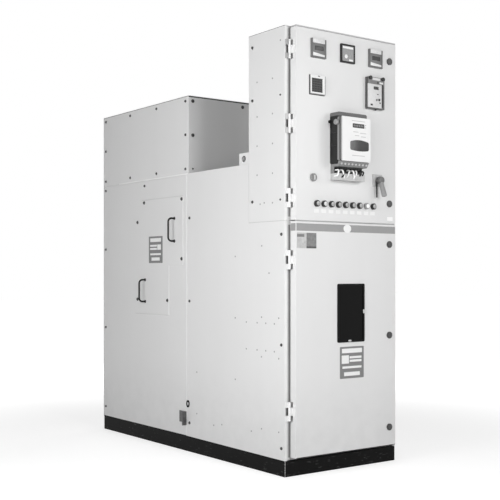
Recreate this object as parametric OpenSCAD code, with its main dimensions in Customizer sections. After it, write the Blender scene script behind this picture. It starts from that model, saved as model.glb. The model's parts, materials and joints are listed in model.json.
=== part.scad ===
// High-voltage switchgear panel: a floor-standing sheet-steel cubicle with an instrument
// tower over the front, a bolted busbar chamber over the back and two hinged front doors.
// Every piece is drawn from the panel's left front bottom corner: x to the right,
// y from the front plane towards the back, z up from the floor.

/* [Cabinet] */
// Width over the side sheets
panel_w = 760; // [700:5:900]
// Depth of the body, front plane to rear edge of the side sheets
body_d = 1900; // [1820:10:2200]
// Height of the low body behind the tower
body_h = 1586; // [1500:2:1680]
// Overall height, floor to the top of the instrument tower
tower_h = 2250; // [2200:5:2400]
// Depth of the instrument tower
tower_d = 305; // [290:5:380]
// Thickness of the folded steel sheets
sheet_t = 3; // [2.5:0.5:4]
// Width of the open seams between neighbouring sheets
seam = 2; // [1:0.5:3]

/* [Base] */
// Height of the base channel
base_h = 80; // [60:5:120]
// Width of the base channel's flanges
base_flange_w = 40; // [35:1:60]
// Thickness of the base channel
base_t = 6; // [5:0.5:8]
// Diameter of the floor bolt holes
anchor_d = 18; // [14:1:22]
// Distance of the floor bolt holes from the ends of the base
anchor_end = 150; // [100:5:250]

/* [Busbar chamber] */
// Distance of the chamber's front from the front plane
chamber_y = 882; // [800:2:980]
// Height of the chamber above the low body
chamber_h = 444; // [380:2:500]
// Overhang of the chamber's top at the front
chamber_eave = 4; // [2:1:10]

/* [Side covers] */
// Distance of the rear side covers from the front plane
side_cover_y = 900; // [860:2:920]
// Gap from the base to the lower edge of the covers
cover_lift = 6; // [3:1:12]
// Height of the seam between the two rear covers
rear_split_z = 833; // [600:1:1000]
// Distance of the stepped access cover behind the side cover's front edge
access_in = 35; // [25:1:50]
// Length of the stepped access cover, front to back
access_l = 552; // [500:2:640]
// Height of the access cover's lower edge
access_z = 770; // [700:2:800]
// Height of the access cover from lower to upper edge
access_h = 690; // [640:2:720]
// Length and height of the lower front corner cut from the access cover
access_low_cut = [153, 292]; // [100:1:300]
// Length and height of the upper rear corner cut from the access cover
access_high_cut = [80, 100]; // [40:1:200]
// Place of the upper handle, behind and below the access cover's upper front corner
handle_high_in = [90, 191]; // [80:1:220]
// Place of the lower handle, before and above the access cover's lower rear corner
handle_low_in = [127, 140]; // [80:1:220]
// Distance between the feet of a pull handle
handle_l = 132; // [110:1:150]
// Reach of a pull handle out from the cover
handle_reach = 43; // [36:1:55]
// Diameter of the pull handle's bar
handle_d = 11; // [8:0.5:14]

/* [Door frame] */
// Width of the folded flange at the front of the side sheets
flange_w = 16; // [12:1:18]
// Setback of the door posts behind the front plane
post_y = 11; // [10:0.5:14]
// Width and depth of the door posts and rails
post_w = 40; // [36:1:44]
// Thickness of the door gasket
gasket_t = 3.5; // [2.5:0.5:5]
// Width of the door gasket
gasket_w = 26; // [22:1:26]

/* [Doors] */
// Distance of a door's edge from the side of the cabinet
door_inset = 36; // [34:1:42]
// How far a door's front stands out of the front plane
door_proud = 42; // [38:1:50]
// Depth of the door pan
door_pan_d = 44; // [40:1:52]
// Width of the lip folded in along the door's back edge
door_lip = 15; // [10:1:20]
// Height of the instrument door
instrument_door_h = 961; // [930:1:1010]
// Gap between the two doors
door_gap = 6; // [5:0.5:10]
// Gap from the tower's top to the upper door
door_top_gap = 8; // [8:0.5:12]
// Gap from the base to the lower door
door_low_gap = 15; // [10:1:25]

/* [Hinges] */
// Distance of the hinge pins from the cabinet's side
pin_x = 22; // [21:0.5:23]
// Distance of the hinge pins in front of the front plane
pin_out = 8; // [7.5:0.5:9]
// Diameter of the hinge pins
pin_d = 6; // [5:0.5:7]
// Radial clearance of a hinge pin in the door's knuckle
pin_clear = 0.1; // [0.05:0.01:0.2]
// Diameter of the hinge knuckles
knuckle_d = 13; // [12:0.5:14]
// Height of a hinge
hinge_h = 95; // [80:1:110]
// Distance of the instrument door's end hinges from the door's ends
instrument_hinge_end = 110; // [90:1:140]
// Drop of the breaker door's upper hinge below the door's top edge
breaker_hinge_drop = 193; // [150:1:240]
// Rise of the breaker door's lower hinge above the door's lower edge
breaker_hinge_rise = 231; // [150:1:260]
// Height of the door's middle knuckle
knuckle_h = 40; // [34:1:46]
// Gap between neighbouring knuckles
knuckle_gap = 0.5; // [0.3:0.1:1]

/* [Instruments] */
// Side of the square meters
meter_w = 96; // [90:1:104]
// Distance of the first meter's centre from the door's hinge edge
meter_hinge_in = 142; // [120:1:150]
// Distance of the last meter's centre from the door's free edge
meter_free_in = 152; // [142:1:165]
// Drop of the meter row below the upper door's top edge
meter_drop = 95; // [80:1:105]
// How far the meters stand out of the door
meter_proud = 10; // [7:0.5:14]
// How far the annunciator stands out of the door
annunciator_proud = 12; // [8:0.5:16]
// Drop of the second row below the upper door's top edge
second_drop = 280; // [265:1:290]
// Distance of the annunciator's centre from the door's hinge edge
annunciator_in = 135; // [110:1:150]
// Width and height of the protection relay's frame
relay_size = [118, 166]; // [100:1:180]
// Distance of the relay's centre from the door's free edge
relay_in = 162; // [140:1:175]
// How far the relay stands out of the door
relay_proud = 22; // [18:1:30]
// Width and height of the energy meter's case
energy_size = [202, 263]; // [180:1:280]
// Drop of the energy meter's centre below the upper door's top edge
energy_drop = 541; // [530:1:550]
// Distance of the energy meter's centre from the middle of the panel, towards the hinges
energy_off = 20; // [0:1:30]
// Depth of the energy meter's black case
energy_case_d = 57; // [45:1:65]
// Depth of the energy meter's front cover
energy_cover_d = 28; // [22:1:34]
// Height of the terminal block under the energy meter
terminal_h = 81; // [75:1:95]
// Number of indicator lamps
lamp_n = 9; // [6:1:9]
// Distance between neighbouring lamps
lamp_pitch = 48.6; // [42:0.2:50]
// Rise of the lamp row above the upper door's lower edge
lamp_rise = 86; // [75:1:100]
// Distance of the lamp row's middle from the middle of the panel, towards the hinges
lamp_off = 17; // [0:1:30]
// Diameter of a lamp's collar
lamp_d = 33; // [28:0.5:36]

/* [Switches and locks] */
// Rise of the control switch above the upper door's lower edge
control_rise = 224; // [210:1:250]
// Distance of the control switch from the door's free edge
control_in = 138; // [125:1:160]
// Side of the control switch's square plate
control_plate = 64; // [54:1:72]
// Length of the pistol grip
grip_l = 92; // [80:1:105]
// Lean of the pistol grip away from the door
grip_lean = 19; // [14:1:30]
// Rise of the selector switch above the upper door's lower edge
selector_rise = 215; // [205:1:230]
// Distance of the selector switch from the door's hinge edge
selector_in = 105; // [80:1:130]
// Diameter of the selector knob
selector_d = 40; // [34:1:44]
// Distance of the locks from the door's free edge
lock_in = 47; // [44:1:54]
// Drop of the instrument door's upper lock below the door's top edge
instrument_lock_drop = 96; // [85:1:120]
// Rise of the instrument door's lower lock above the door's lower edge
instrument_lock_rise = 105; // [85:1:120]
// Drop of the breaker door's upper lock below the door's top edge
breaker_lock_drop = 106; // [85:1:120]
// Rise of the breaker door's lower lock above the door's lower edge
breaker_lock_rise = 99; // [85:1:120]
// Diameter of a lock's collar
lock_d = 36; // [30:0.5:40]

/* [Window] */
// Width and height of the clear window in the lower door
window_size = [166, 280]; // [140:1:300]
// Width of the rubber frame round the window
window_rim = 11; // [8:0.5:16]
// Drop of the window's centre below the breaker door's top edge
window_drop = 465; // [430:1:500]
// Distance of the window's centre from the middle of the panel, towards the locks
window_off = 22; // [0:1:30]
// Thickness of the window pane
pane_t = 3; // [2.5:0.5:4]

/* [Lugs] */
// Length of a lifting lug
lug_l = 86; // [76:1:100]
// Height of a lifting lug above the body
lug_h = 62; // [56:1:80]
// Thickness of a lifting lug
lug_t = 8; // [6:0.5:12]
// Diameter of the lifting hole
lug_hole_d = 25; // [20:1:30]
// Height of the earth terminal above the floor
earth_z = 162; // [140:1:200]
// Diameter of the earth bolt hole
earth_hole_d = 11; // [9:0.5:14]

/* [Hidden] */
$fn = 48;
eps = 0.1;
// Gap that keeps a seated piece clear of its seat
seat_gap = 0.3;
paint = [0.86, 0.86, 0.85];
black = [0.10, 0.10, 0.11];
dark_grey = [0.30, 0.30, 0.31];
steel = [0.62, 0.63, 0.64];

chamber_top = body_h + chamber_h;
chamber_low = body_h - 2 * sheet_t;
anchor_x = (base_t + base_flange_w) / 2;
frame_back = post_y + post_w;
front_y = -door_proud;
skin_y = front_y + sheet_t;
door_back = front_y + door_pan_d;
upper_top = tower_h - door_top_gap;
upper_z = upper_top - instrument_door_h;
door_split_z = upper_z - door_gap / 2;
hinge_edge = door_inset;
free_edge = panel_w - door_inset;
lower_z = base_h + door_low_gap;
lower_top = door_split_z - door_gap / 2;
mid_x = panel_w / 2;

// Places on the doors: across and up
meter_first = hinge_edge + meter_hinge_in;
meter_last = free_edge - meter_free_in;
meter_row = [for (x = [meter_first, (meter_first + meter_last) / 2, meter_last]) [x, upper_top - meter_drop]];
annunciator_at = [hinge_edge + annunciator_in, upper_top - second_drop];
relay_at = [free_edge - relay_in, upper_top - second_drop];
energy_at = [mid_x - energy_off, upper_top - energy_drop];
lamp_first = mid_x - lamp_off - (lamp_n - 1) / 2 * lamp_pitch;
lamp_row = [for (i = [0:lamp_n - 1]) [lamp_first + i * lamp_pitch, upper_z + lamp_rise]];
control_at = [free_edge - control_in, upper_z + control_rise];
selector_at = [hinge_edge + selector_in, upper_z + selector_rise];
window_at = [mid_x + window_off, lower_top - window_drop];
lock_x = free_edge - lock_in;
upper_locks = [upper_top - instrument_lock_drop, upper_z + instrument_lock_rise];
lower_locks = [lower_top - breaker_lock_drop, (lower_z + lower_top) / 2, lower_z + breaker_lock_rise];
upper_hinges = [upper_top - instrument_hinge_end, (upper_top + upper_z) / 2, upper_z + instrument_hinge_end];
lower_hinges = [lower_top - breaker_hinge_drop, lower_z + breaker_hinge_rise];

// Part of an instrument that passes through the door, and its clearance in the cut-out
cut_clear = 0.75;
instrument_lap = 3;
meter_size = [meter_w, meter_w];
instrument_body = meter_size - 2 * [instrument_lap, instrument_lap];
instrument_depth = 70;
relay_lap = [8, 7];
relay_body = relay_size - 2 * relay_lap;
relay_depth = 140;
lamp_neck_d = 22;
lamp_depth = 45;
switch_neck_d = 20;
lock_neck_d = 19;
lock_depth = 24;

// Moves a piece from the panel's corner to the origin, the middle of the base on the floor
module from_corner() translate([-panel_w / 2, -body_d / 2, 0]) children();

// A block between two opposite corners
module block(low, high) translate(low) cube(high - low);

// Draws a piece on the left side and its mirror image on the right
module both_sides() {
    children();
    on_right() children();
}

module on_right() translate([panel_w, 0, 0]) mirror([1, 0, 0]) children();

// A flat rectangle with round corners, centred
module round_rect(size, r) {
    square([size[0] - 2 * r, size[1]], center = true);
    square([size[0], size[1] - 2 * r], center = true);
    for (sx = [-1, 1], sy = [-1, 1])
        translate([sx * (size[0] / 2 - r), sy * (size[1] / 2 - r)]) circle(r);
}

// An upright plate with round corners, centred at a place on the door, from y0 back to y1
module door_plate(at, size, r, y0, y1)
    translate([at[0], y1, at[1]]) rotate([90, 0, 0]) linear_extrude(y1 - y0) round_rect(size, r);

// A round bar along y at a place on the door
module door_bar(at, d, y0, y1)
    translate([at[0], y1, at[1]]) rotate([90, 0, 0]) cylinder(d = d, h = y1 - y0);

// An upright block at a place on the door
module door_block(at, size, y0, y1)
    block([at[0] - size[0] / 2, y0, at[1] - size[1] / 2], [at[0] + size[0] / 2, y1, at[1] + size[1] / 2]);

// Base: a ring of channel with its flanges turned in, mitred at the corners
module base_ring() {
    difference() {
        cube([panel_w, body_d, base_h]);
        translate([base_t, base_t, base_t])
            cube([panel_w - 2 * base_t, body_d - 2 * base_t, base_h - 2 * base_t]);
        translate([base_flange_w, base_flange_w, -eps])
            cube([panel_w - 2 * base_flange_w, body_d - 2 * base_flange_w, base_h + 2 * eps]);
        for (x = [anchor_x, panel_w - anchor_x], y = [anchor_end, body_d - anchor_end])
            translate([x, y, -eps]) cylinder(d = anchor_d, h = base_t + 2 * eps);
    }
}

module mitred(outline) color(black) from_corner() intersection() {
    base_ring();
    linear_extrude(base_h) polygon(outline);
}

module base_front_channel() mitred([
    [0, 0], [panel_w, 0], [panel_w - base_flange_w, base_flange_w], [base_flange_w, base_flange_w]]);

module base_rear_channel() mitred([
    [0, body_d], [base_flange_w, body_d - base_flange_w],
    [panel_w - base_flange_w, body_d - base_flange_w], [panel_w, body_d]]);

module base_left_channel() mitred([
    [0, 0], [base_flange_w, base_flange_w], [base_flange_w, body_d - base_flange_w], [0, body_d]]);

module base_right_channel() mitred([
    [panel_w, 0], [panel_w, body_d], [panel_w - base_flange_w, body_d - base_flange_w],
    [panel_w - base_flange_w, base_flange_w]]);

module floor_plate() color(paint) from_corner()
    block([sheet_t, post_y, base_h], [panel_w - sheet_t, body_d, base_h + sheet_t]);

// Plan of a side sheet: the front edge is folded in and back again to meet the door post
module side_plan(depth) polygon([
    [0, 0], [flange_w, 0], [flange_w, post_y], [flange_w - sheet_t, post_y],
    [flange_w - sheet_t, sheet_t], [sheet_t, sheet_t], [sheet_t, depth], [0, depth]]);

// Openings in the folded flange that let the door's knuckles pass
notch_clear = 3;
notch_h = knuckle_h + 2 * notch_clear;

module hinge_notches(heights)
    for (z = heights)
        block([sheet_t, -eps, z - notch_h / 2], [flange_w + eps, post_y + eps, z + notch_h / 2]);

// Low body side sheet with the corner left out where the tower's side fits in
module body_side() difference() {
    translate([0, 0, base_h]) linear_extrude(body_h - base_h) side_plan(body_d);
    block([-eps, -eps, door_split_z - seam / 2], [flange_w + eps, tower_d + seam / 2, body_h + eps]);
}

module left_side_sheet() color(paint) from_corner() difference() {
    body_side();
    hinge_notches(lower_hinges);
}

module right_side_sheet() color(paint) from_corner() on_right() body_side();

module tower_side() difference() {
    translate([0, 0, door_split_z + seam / 2])
        linear_extrude(tower_h - door_split_z - seam / 2) side_plan(tower_d - seam / 2);
    block([sheet_t, -eps, tower_h - sheet_t], [flange_w + eps, post_y + eps, tower_h + eps]);
}

module tower_sides() color(paint) from_corner() difference() {
    both_sides() tower_side();
    hinge_notches(upper_hinges);
}

module tower_top() color(paint) from_corner()
    block([sheet_t, 0, tower_h - sheet_t], [panel_w - sheet_t, tower_d, tower_h]);

module tower_rear() color(paint) from_corner()
    block([sheet_t, tower_d - sheet_t, door_split_z + seam / 2],
          [panel_w - sheet_t, tower_d, tower_h - sheet_t]);

module tower_floor() color(paint) from_corner()
    block([sheet_t, frame_back, door_split_z + seam / 2],
          [panel_w - sheet_t, tower_d - sheet_t, door_split_z + seam / 2 + sheet_t]);

module roof_sheet() color(paint) from_corner() difference() {
    block([sheet_t, tower_d, body_h - sheet_t], [panel_w - sheet_t, body_d, body_h]);
    both_sides() lug_plate(seat_gap);
}

module compartment_barrier() color(paint) from_corner()
    block([sheet_t, chamber_y - sheet_t, base_h + sheet_t], [panel_w - sheet_t, chamber_y, body_h - sheet_t]);

// Bolted covers that stand proud of the sheets behind them
module rear_side_covers() color(paint) from_corner() both_sides()
    block([-sheet_t, side_cover_y, base_h + cover_lift], [0, body_d, chamber_low - seam]);

module rear_covers() color(paint) from_corner() {
    block([0, body_d, base_h + cover_lift], [panel_w, body_d + sheet_t, rear_split_z - seam / 2]);
    block([0, body_d, rear_split_z + seam / 2], [panel_w, body_d + sheet_t, chamber_low - seam]);
}

// Busbar chamber: its side and rear covers lap down over the low body's top edge
module chamber_side_covers() color(paint) from_corner() both_sides()
    block([-sheet_t, chamber_y, chamber_low], [0, body_d, chamber_top - sheet_t]);

module chamber_front_cover() color(paint) from_corner()
    block([0, chamber_y, body_h], [panel_w, chamber_y + sheet_t, chamber_top - sheet_t]);

module chamber_rear_cover() color(paint) from_corner()
    block([-sheet_t, body_d, chamber_low], [panel_w + sheet_t, body_d + sheet_t, chamber_top - sheet_t]);

module chamber_top_cover() color(paint) from_corner()
    block([-sheet_t, chamber_y - chamber_eave, chamber_top - sheet_t],
          [panel_w + sheet_t, body_d + sheet_t, chamber_top]);

// Stepped access cover: a rectangle with two opposite corners cut out
access_y0 = side_cover_y + access_in;
access_y1 = access_y0 + access_l;
access_top = access_z + access_h;

module access_cover() color(paint) from_corner()
    translate([-2 * sheet_t, 0, 0]) rotate([90, 0, 90]) linear_extrude(sheet_t) polygon([
        [access_y0, access_top],
        [access_y0, access_z + access_low_cut[1]],
        [access_y0 + access_low_cut[0], access_z + access_low_cut[1]],
        [access_y0 + access_low_cut[0], access_z],
        [access_y1, access_z],
        [access_y1, access_top - access_high_cut[1]],
        [access_y1 - access_high_cut[0], access_top - access_high_cut[1]],
        [access_y1 - access_high_cut[0], access_top]]);

// Pull handle: a round bar bent to a bow, standing on two feet
handle_bend = 22;
handle_foot_d = 18;
handle_foot_t = 3;

module pull_handle() {
    for (s = [-1, 1]) {
        translate([0, 0, s * handle_l / 2]) rotate([0, -90, 0]) {
            cylinder(d = handle_d, h = handle_reach - handle_bend);
            cylinder(d = handle_foot_d, h = handle_foot_t);
        }
        translate([-(handle_reach - handle_bend), 0, s * (handle_l / 2 - handle_bend)])
            rotate([90, s > 0 ? 180 : 0, 0]) mirror([s > 0 ? 0 : 1, s > 0 ? 1 : 1, 0])
            rotate_extrude(angle = 90) translate([handle_bend, 0]) circle(d = handle_d);
    }
    translate([-handle_reach, 0, -(handle_l / 2 - handle_bend)])
        cylinder(d = handle_d, h = handle_l - 2 * handle_bend);
}

handle_places = [
    [access_y0 + handle_high_in[0], access_top - handle_high_in[1]],
    [access_y1 - handle_low_in[0], access_z + handle_low_in[1]]];

module access_cover_handles() color(black) from_corner()
    for (p = handle_places) translate([-2 * sheet_t, p[0], p[1]]) pull_handle();

// Earth terminal: an angle with one leg on the side cover and one standing out to take the lead
earth_plate = [61, 64];
earth_leg_t = 6;
earth_leg_out = 27;
earth_leg_drop = 14;
earth_hole_rise = 16;

module earth_terminal() color(dark_grey) from_corner() difference() {
    union() {
        block([-sheet_t - earth_leg_t, side_cover_y, earth_z],
              [-sheet_t, side_cover_y + earth_leg_t + earth_plate[0], earth_z + earth_plate[1]]);
        block([-sheet_t - earth_leg_out, side_cover_y, earth_z - earth_leg_drop],
              [-sheet_t, side_cover_y + earth_leg_t, earth_z + earth_plate[1]]);
    }
    translate([-sheet_t - (earth_leg_out + earth_leg_t) / 2, side_cover_y - eps, earth_z + earth_hole_rise])
        rotate([-90, 0, 0]) cylinder(d = earth_hole_d, h = earth_leg_t + 2 * eps);
}

// Lifting lugs: thick plates behind the side sheets, rising through the roof behind the tower
lug_gap = 3;
lug_y = tower_d + lug_gap;
lug_below = 100;

module lug_plate(gap = 0)
    block([sheet_t, lug_y - gap, body_h - lug_below],
          [sheet_t + lug_t + gap, lug_y + lug_l + gap, body_h + lug_h]);

module lifting_lugs() color(paint) from_corner() both_sides() difference() {
    lug_plate();
    translate([sheet_t - eps, lug_y + lug_l / 2, body_h + lug_h / 2])
        rotate([0, 90, 0]) cylinder(d = lug_hole_d, h = lug_t + 2 * eps);
}

// Door posts and rails: folded channels, open at the back
module post_plan() difference() {
    square([post_w, post_w]);
    translate([sheet_t, sheet_t]) square([post_w - 2 * sheet_t, post_w]);
}

module door_posts() color(paint) from_corner() both_sides()
    translate([sheet_t, post_y, base_h + sheet_t]) linear_extrude(tower_h - base_h - 2 * sheet_t) post_plan();

rail_z = [base_h + sheet_t, door_split_z - post_w / 2, tower_h - sheet_t - post_w];
rail_x = sheet_t + post_w;

module door_rails() color(paint) from_corner()
    for (z = rail_z)
        translate([rail_x, post_y, z]) difference() {
            cube([panel_w - 2 * rail_x, post_w, post_w]);
            translate([-eps, sheet_t, sheet_t])
                cube([panel_w - 2 * rail_x + 2 * eps, post_w, post_w - 2 * sheet_t]);
        }

// Gaskets: a flat rubber ring under the back edge of each door
gasket_x = flange_w + 1;

module gasket_ring(z0, z1) difference() {
    block([gasket_x, post_y - gasket_t, z0], [panel_w - gasket_x, post_y, z1]);
    block([gasket_x + gasket_w, post_y - gasket_t - eps, z0 + gasket_w / 2],
          [panel_w - gasket_x - gasket_w, post_y + eps, z1 - gasket_w / 2]);
}

module door_gaskets() color(black) from_corner() {
    gasket_ring(lower_z, lower_top);
    gasket_ring(upper_z, upper_top);
}

// Hinges: two knuckles on an arm from the cabinet's flange, one between them on the door
knuckle_end_h = (hinge_h - knuckle_h) / 2 - knuckle_gap;
arm_in = 1;
strap_t = 8;
strap_lap = 3;
leaf_t = 3;
leaf_back = 8;

module fixed_leaf(z)
    translate([pin_x, -pin_out, z]) {
        for (s = [-1, 1]) translate([0, 0, s * (knuckle_h / 2 + knuckle_gap + knuckle_end_h / 2)]) {
            cylinder(d = knuckle_d, h = knuckle_end_h, center = true);
            block([arm_in - pin_x, 0, -knuckle_end_h / 2],
                  [flange_w - arm_in - pin_x, pin_out, knuckle_end_h / 2]);
            block([flange_w - strap_lap - pin_x, -strap_t / 2, -knuckle_end_h / 2],
                  [0, strap_t / 2, knuckle_end_h / 2]);
        }
        cylinder(d = pin_d, h = hinge_h, center = true);
    }

module door_leaf(z)
    translate([pin_x, -pin_out, z]) difference() {
        union() {
            cylinder(d = knuckle_d, h = knuckle_h, center = true);
            block([0, -strap_t / 2, -knuckle_h / 2], [door_inset - pin_x, strap_t / 2, knuckle_h / 2]);
            block([door_inset - pin_x - leaf_t, pin_out - door_proud + leaf_back, -knuckle_h / 2],
                  [door_inset - pin_x, strap_t / 2, knuckle_h / 2]);
        }
        cylinder(d = pin_d + 2 * pin_clear, h = knuckle_h + 2 * eps, center = true);
    }

module fixed_hinge_leaves() color(paint) from_corner()
    for (z = concat(upper_hinges, lower_hinges)) fixed_leaf(z);

module instrument_door_hinges() color(paint) from_corner() for (z = upper_hinges) door_leaf(z);
module breaker_door_hinges() color(paint) from_corner() for (z = lower_hinges) door_leaf(z);

// Openings in the door's folded edge that clear the cabinet's knuckles
edge_notch_d = 16;

module edge_notches(heights)
    for (z = heights, s = [-1, 1])
        translate([0, 0, z + s * (knuckle_h / 2 + knuckle_gap + knuckle_end_h / 2)])
            block([door_inset - eps, door_back - sheet_t - edge_notch_d, -knuckle_end_h / 2],
                  [door_inset + sheet_t + eps, door_back - sheet_t, knuckle_end_h / 2]);

// Door pan: a front skin with folded edges and a lip turned in along the back
module door_pan(z0, z1) difference() {
    block([door_inset, front_y, z0], [panel_w - door_inset, door_back, z1]);
    block([door_inset + sheet_t, skin_y, z0 + sheet_t],
          [panel_w - door_inset - sheet_t, door_back - sheet_t, z1 - sheet_t]);
    block([door_inset + door_lip, skin_y, z0 + door_lip],
          [panel_w - door_inset - door_lip, door_back + eps, z1 - door_lip]);
}

// Cut-outs in the door's skin for an instrument's body and for a round neck
module square_hole(at, body) door_block(at, body + 2 * [cut_clear, cut_clear], front_y - eps, skin_y + eps);
module round_hole(at, neck_d) door_bar(at, neck_d + 2 * cut_clear, front_y - eps, skin_y + eps);

module instrument_door() color(paint) from_corner() difference() {
    door_pan(upper_z, upper_top);
    for (p = concat(meter_row, [annunciator_at])) square_hole(p, instrument_body);
    square_hole(relay_at, relay_body);
    for (p = lamp_row) round_hole(p, lamp_neck_d);
    for (p = [control_at, selector_at]) round_hole(p, switch_neck_d);
    for (z = upper_locks) round_hole([lock_x, z], lock_neck_d);
    edge_notches(upper_hinges);
}

window_hole = window_size + [window_rim, window_rim];
window_r = 8;

module breaker_door() color(paint) from_corner() difference() {
    door_pan(lower_z, lower_top);
    door_plate(window_at, window_hole, window_r, front_y - eps, skin_y + eps);
    for (z = lower_locks) round_hole([lock_x, z], lock_neck_d);
    edge_notches(lower_hinges);
}

// Square meter: a bezel on the door with a sunk dial and a case behind
bezel_edge = 8;
bezel_sink = 3;
bezel_r = 2;

module flush_instrument(at, size, proud, body, depth) {
    door_plate(at, size, bezel_r, front_y - proud, front_y);
    door_block(at, body, front_y - eps, front_y + depth);
}

module square_meters() color(dark_grey) from_corner()
    for (p = meter_row) difference() {
        flush_instrument(p, meter_size, meter_proud, instrument_body, instrument_depth);
        door_block(p, meter_size - 2 * [bezel_edge, bezel_edge],
                   front_y - meter_proud - eps, front_y - meter_proud + bezel_sink);
    }

// Annunciator: a grid of sunk alarm tiles, and a column of push buttons beside it
tile_grid = [4, 6];
tile_area = [69, 69];
tile_rib = 2;
tile_shift = [-7, -2];
button_n = 4;
button_d = 7;
button_in = 9;
button_pitch = 14;
button_out = 2.5;

module annunciator() color(paint) from_corner() {
    tile = [for (k = [0, 1]) (tile_area[k] - (tile_grid[k] - 1) * tile_rib) / tile_grid[k]];
    tiles_at = annunciator_at + tile_shift;
    difference() {
        flush_instrument(annunciator_at, meter_size, annunciator_proud, instrument_body, instrument_depth);
        for (i = [0:tile_grid[0] - 1], j = [0:tile_grid[1] - 1])
            door_block(tiles_at + [(i - (tile_grid[0] - 1) / 2) * (tile[0] + tile_rib),
                                   (j - (tile_grid[1] - 1) / 2) * (tile[1] + tile_rib)], tile,
                       front_y - annunciator_proud - eps, front_y - annunciator_proud + bezel_sink);
    }
    for (i = [0:button_n - 1])
        door_bar(annunciator_at + [meter_w / 2 - button_in, (i - (button_n - 1) / 2) * button_pitch],
                 button_d, front_y - annunciator_proud - button_out, front_y - annunciator_proud + eps);
}

// Protection relay: a deep frame round a sunk front, with two thumb nuts at the top
relay_edge = 10;
relay_sink = 6;
nut_d = 20;
nut_in = [14, 6];
nut_out = 9;

module protection_relay() color(dark_grey) from_corner() {
    difference() {
        flush_instrument(relay_at, relay_size, relay_proud, relay_body, relay_depth);
        door_block(relay_at, relay_size - 2 * [relay_edge, relay_edge],
                   front_y - relay_proud - eps, front_y - relay_proud + relay_sink);
    }
    for (s = [-1, 1])
        door_bar(relay_at + [s * (relay_size[0] / 2 - nut_in[0]), relay_size[1] / 2 - nut_in[1]], nut_d,
                 front_y - relay_proud - nut_out, front_y - relay_proud);
}

// Energy meter: a black case with ribbed sides and fixing ears, rising over the cover in front of it
energy_y = front_y - energy_case_d;
energy_r = 10;
ear_d = 16;
ear_t = 8;
ear_drop = 46;
rib_sink = 2;
rib_edge = 12;
rib_n = 3;

module energy_meter_case() color(black) from_corner() difference() {
    rib_pitch = energy_size[1] / (rib_n + 1);
    union() {
        door_plate(energy_at, energy_size, energy_r, energy_y, front_y);
        for (s = [-1, 1])
            door_bar(energy_at + [s * (energy_size[0] + ear_d / 2) / 2, energy_size[1] / 2 - ear_drop], ear_d,
                     front_y - ear_t, front_y);
    }
    for (s = [-1, 1], k = [0:rib_n - 1])
        door_block(energy_at + [s * energy_size[0] / 2, (k - (rib_n - 1) / 2) * rib_pitch],
                   [2 * rib_sink, rib_pitch - rib_edge], energy_y + rib_edge, front_y - rib_edge);
}

// Cover of the energy meter: a rim, a groove round it and the front plate
cover_top = 25;
cover_low = 14;
cover_rim = 17;
cover_groove = 7;
cover_groove_d = 5;
cover_size = energy_size - [0, cover_top + cover_low];
cover_at = energy_at - [0, (cover_top - cover_low) / 2];
cover_y = energy_y - energy_cover_d;

module energy_meter_cover() color("white") from_corner() {
    door_plate(cover_at, cover_size, energy_r, energy_y - cover_rim, energy_y);
    door_plate(cover_at, cover_size - 2 * [cover_groove_d, cover_groove_d], energy_r - cover_groove_d,
               energy_y - cover_rim - cover_groove, energy_y - cover_rim + eps);
    door_plate(cover_at, cover_size, energy_r, cover_y, energy_y - cover_rim - cover_groove);
}

// Terminal block: a sloping screw strip under the cover, sunk terminals and a foot for the wires
terminal_top = energy_at[1] - energy_size[1] / 2;
terminal_inset = 4;
strip_out = 22;
strip_lap = 13;
strip_drop = 13;
strip_slope = 18;
throat_d = 26;
throat_h = 34;
foot_d = 46;
terminal_n = 8;
terminal_slot = [15, 22];
terminal_slot_d = 14;

module meter_terminal_block() color(paint) from_corner() difference() {
    width = energy_size[0] - 2 * terminal_inset;
    low = terminal_top - terminal_h;
    strip_low = terminal_top - strip_drop;
    throat_y = front_y - throat_d;
    translate([energy_at[0] - width / 2, 0, 0]) rotate([90, 0, 90]) linear_extrude(width) polygon([
        [front_y, low], [front_y, terminal_top], [energy_y, terminal_top],
        [energy_y, terminal_top + strip_lap], [energy_y - strip_out, terminal_top + strip_lap],
        [energy_y - strip_out + strip_slope, strip_low],
        [throat_y, strip_low], [throat_y, strip_low - throat_h], [front_y - foot_d, strip_low - throat_h],
        [front_y - foot_d, low]]);
    for (i = [0:terminal_n - 1])
        door_block([energy_at[0] + (i - (terminal_n - 1) / 2) * width / terminal_n, strip_low - throat_h / 2],
                   terminal_slot, throat_y - eps, throat_y + terminal_slot_d);
}

// Indicator lamps: a deep collar with a domed lens, and a neck through the door
lamp_out = 18;
lamp_collar = 13;
lamp_wall = 3;
lens_edge = [2, 5];

module lamp(at) {
    lens_r = lamp_d / 2 - lamp_wall;
    translate([at[0], front_y, at[1]]) rotate([90, 0, 0]) rotate_extrude() polygon([
        [0, -lamp_depth], [lamp_neck_d / 2, -lamp_depth], [lamp_neck_d / 2, 0], [lamp_d / 2, 0],
        [lamp_d / 2, lamp_collar - 1], [lamp_d / 2 - 1, lamp_collar], [lens_r, lamp_collar],
        [lens_r, lamp_out - 3], [lens_r - lens_edge[0], lamp_out - 1], [lens_r - lens_edge[1], lamp_out],
        [0, lamp_out]]);
}

module indicator_lamps() color(dark_grey) from_corner() for (p = lamp_row) lamp(p);

// Quarter-turn locks: a round collar with a sunk key post, and a barrel behind the door
lock_out = 6;
key_well_d = 16;
key_well = 4;
key_bar = [4, 11];

module lock(z) difference() {
    union() {
        door_bar([lock_x, z], lock_d, front_y - lock_out, front_y);
        door_bar([lock_x, z], lock_neck_d, front_y - eps, front_y + lock_depth);
    }
    difference() {
        door_bar([lock_x, z], key_well_d, front_y - lock_out - eps, front_y - lock_out + key_well);
        door_block([lock_x, z], key_bar, front_y - lock_out - 2 * eps, front_y);
    }
}

module instrument_door_locks() color(dark_grey) from_corner() for (z = upper_locks) lock(z);
module breaker_door_locks() color(dark_grey) from_corner() for (z = lower_locks) lock(z);

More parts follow.
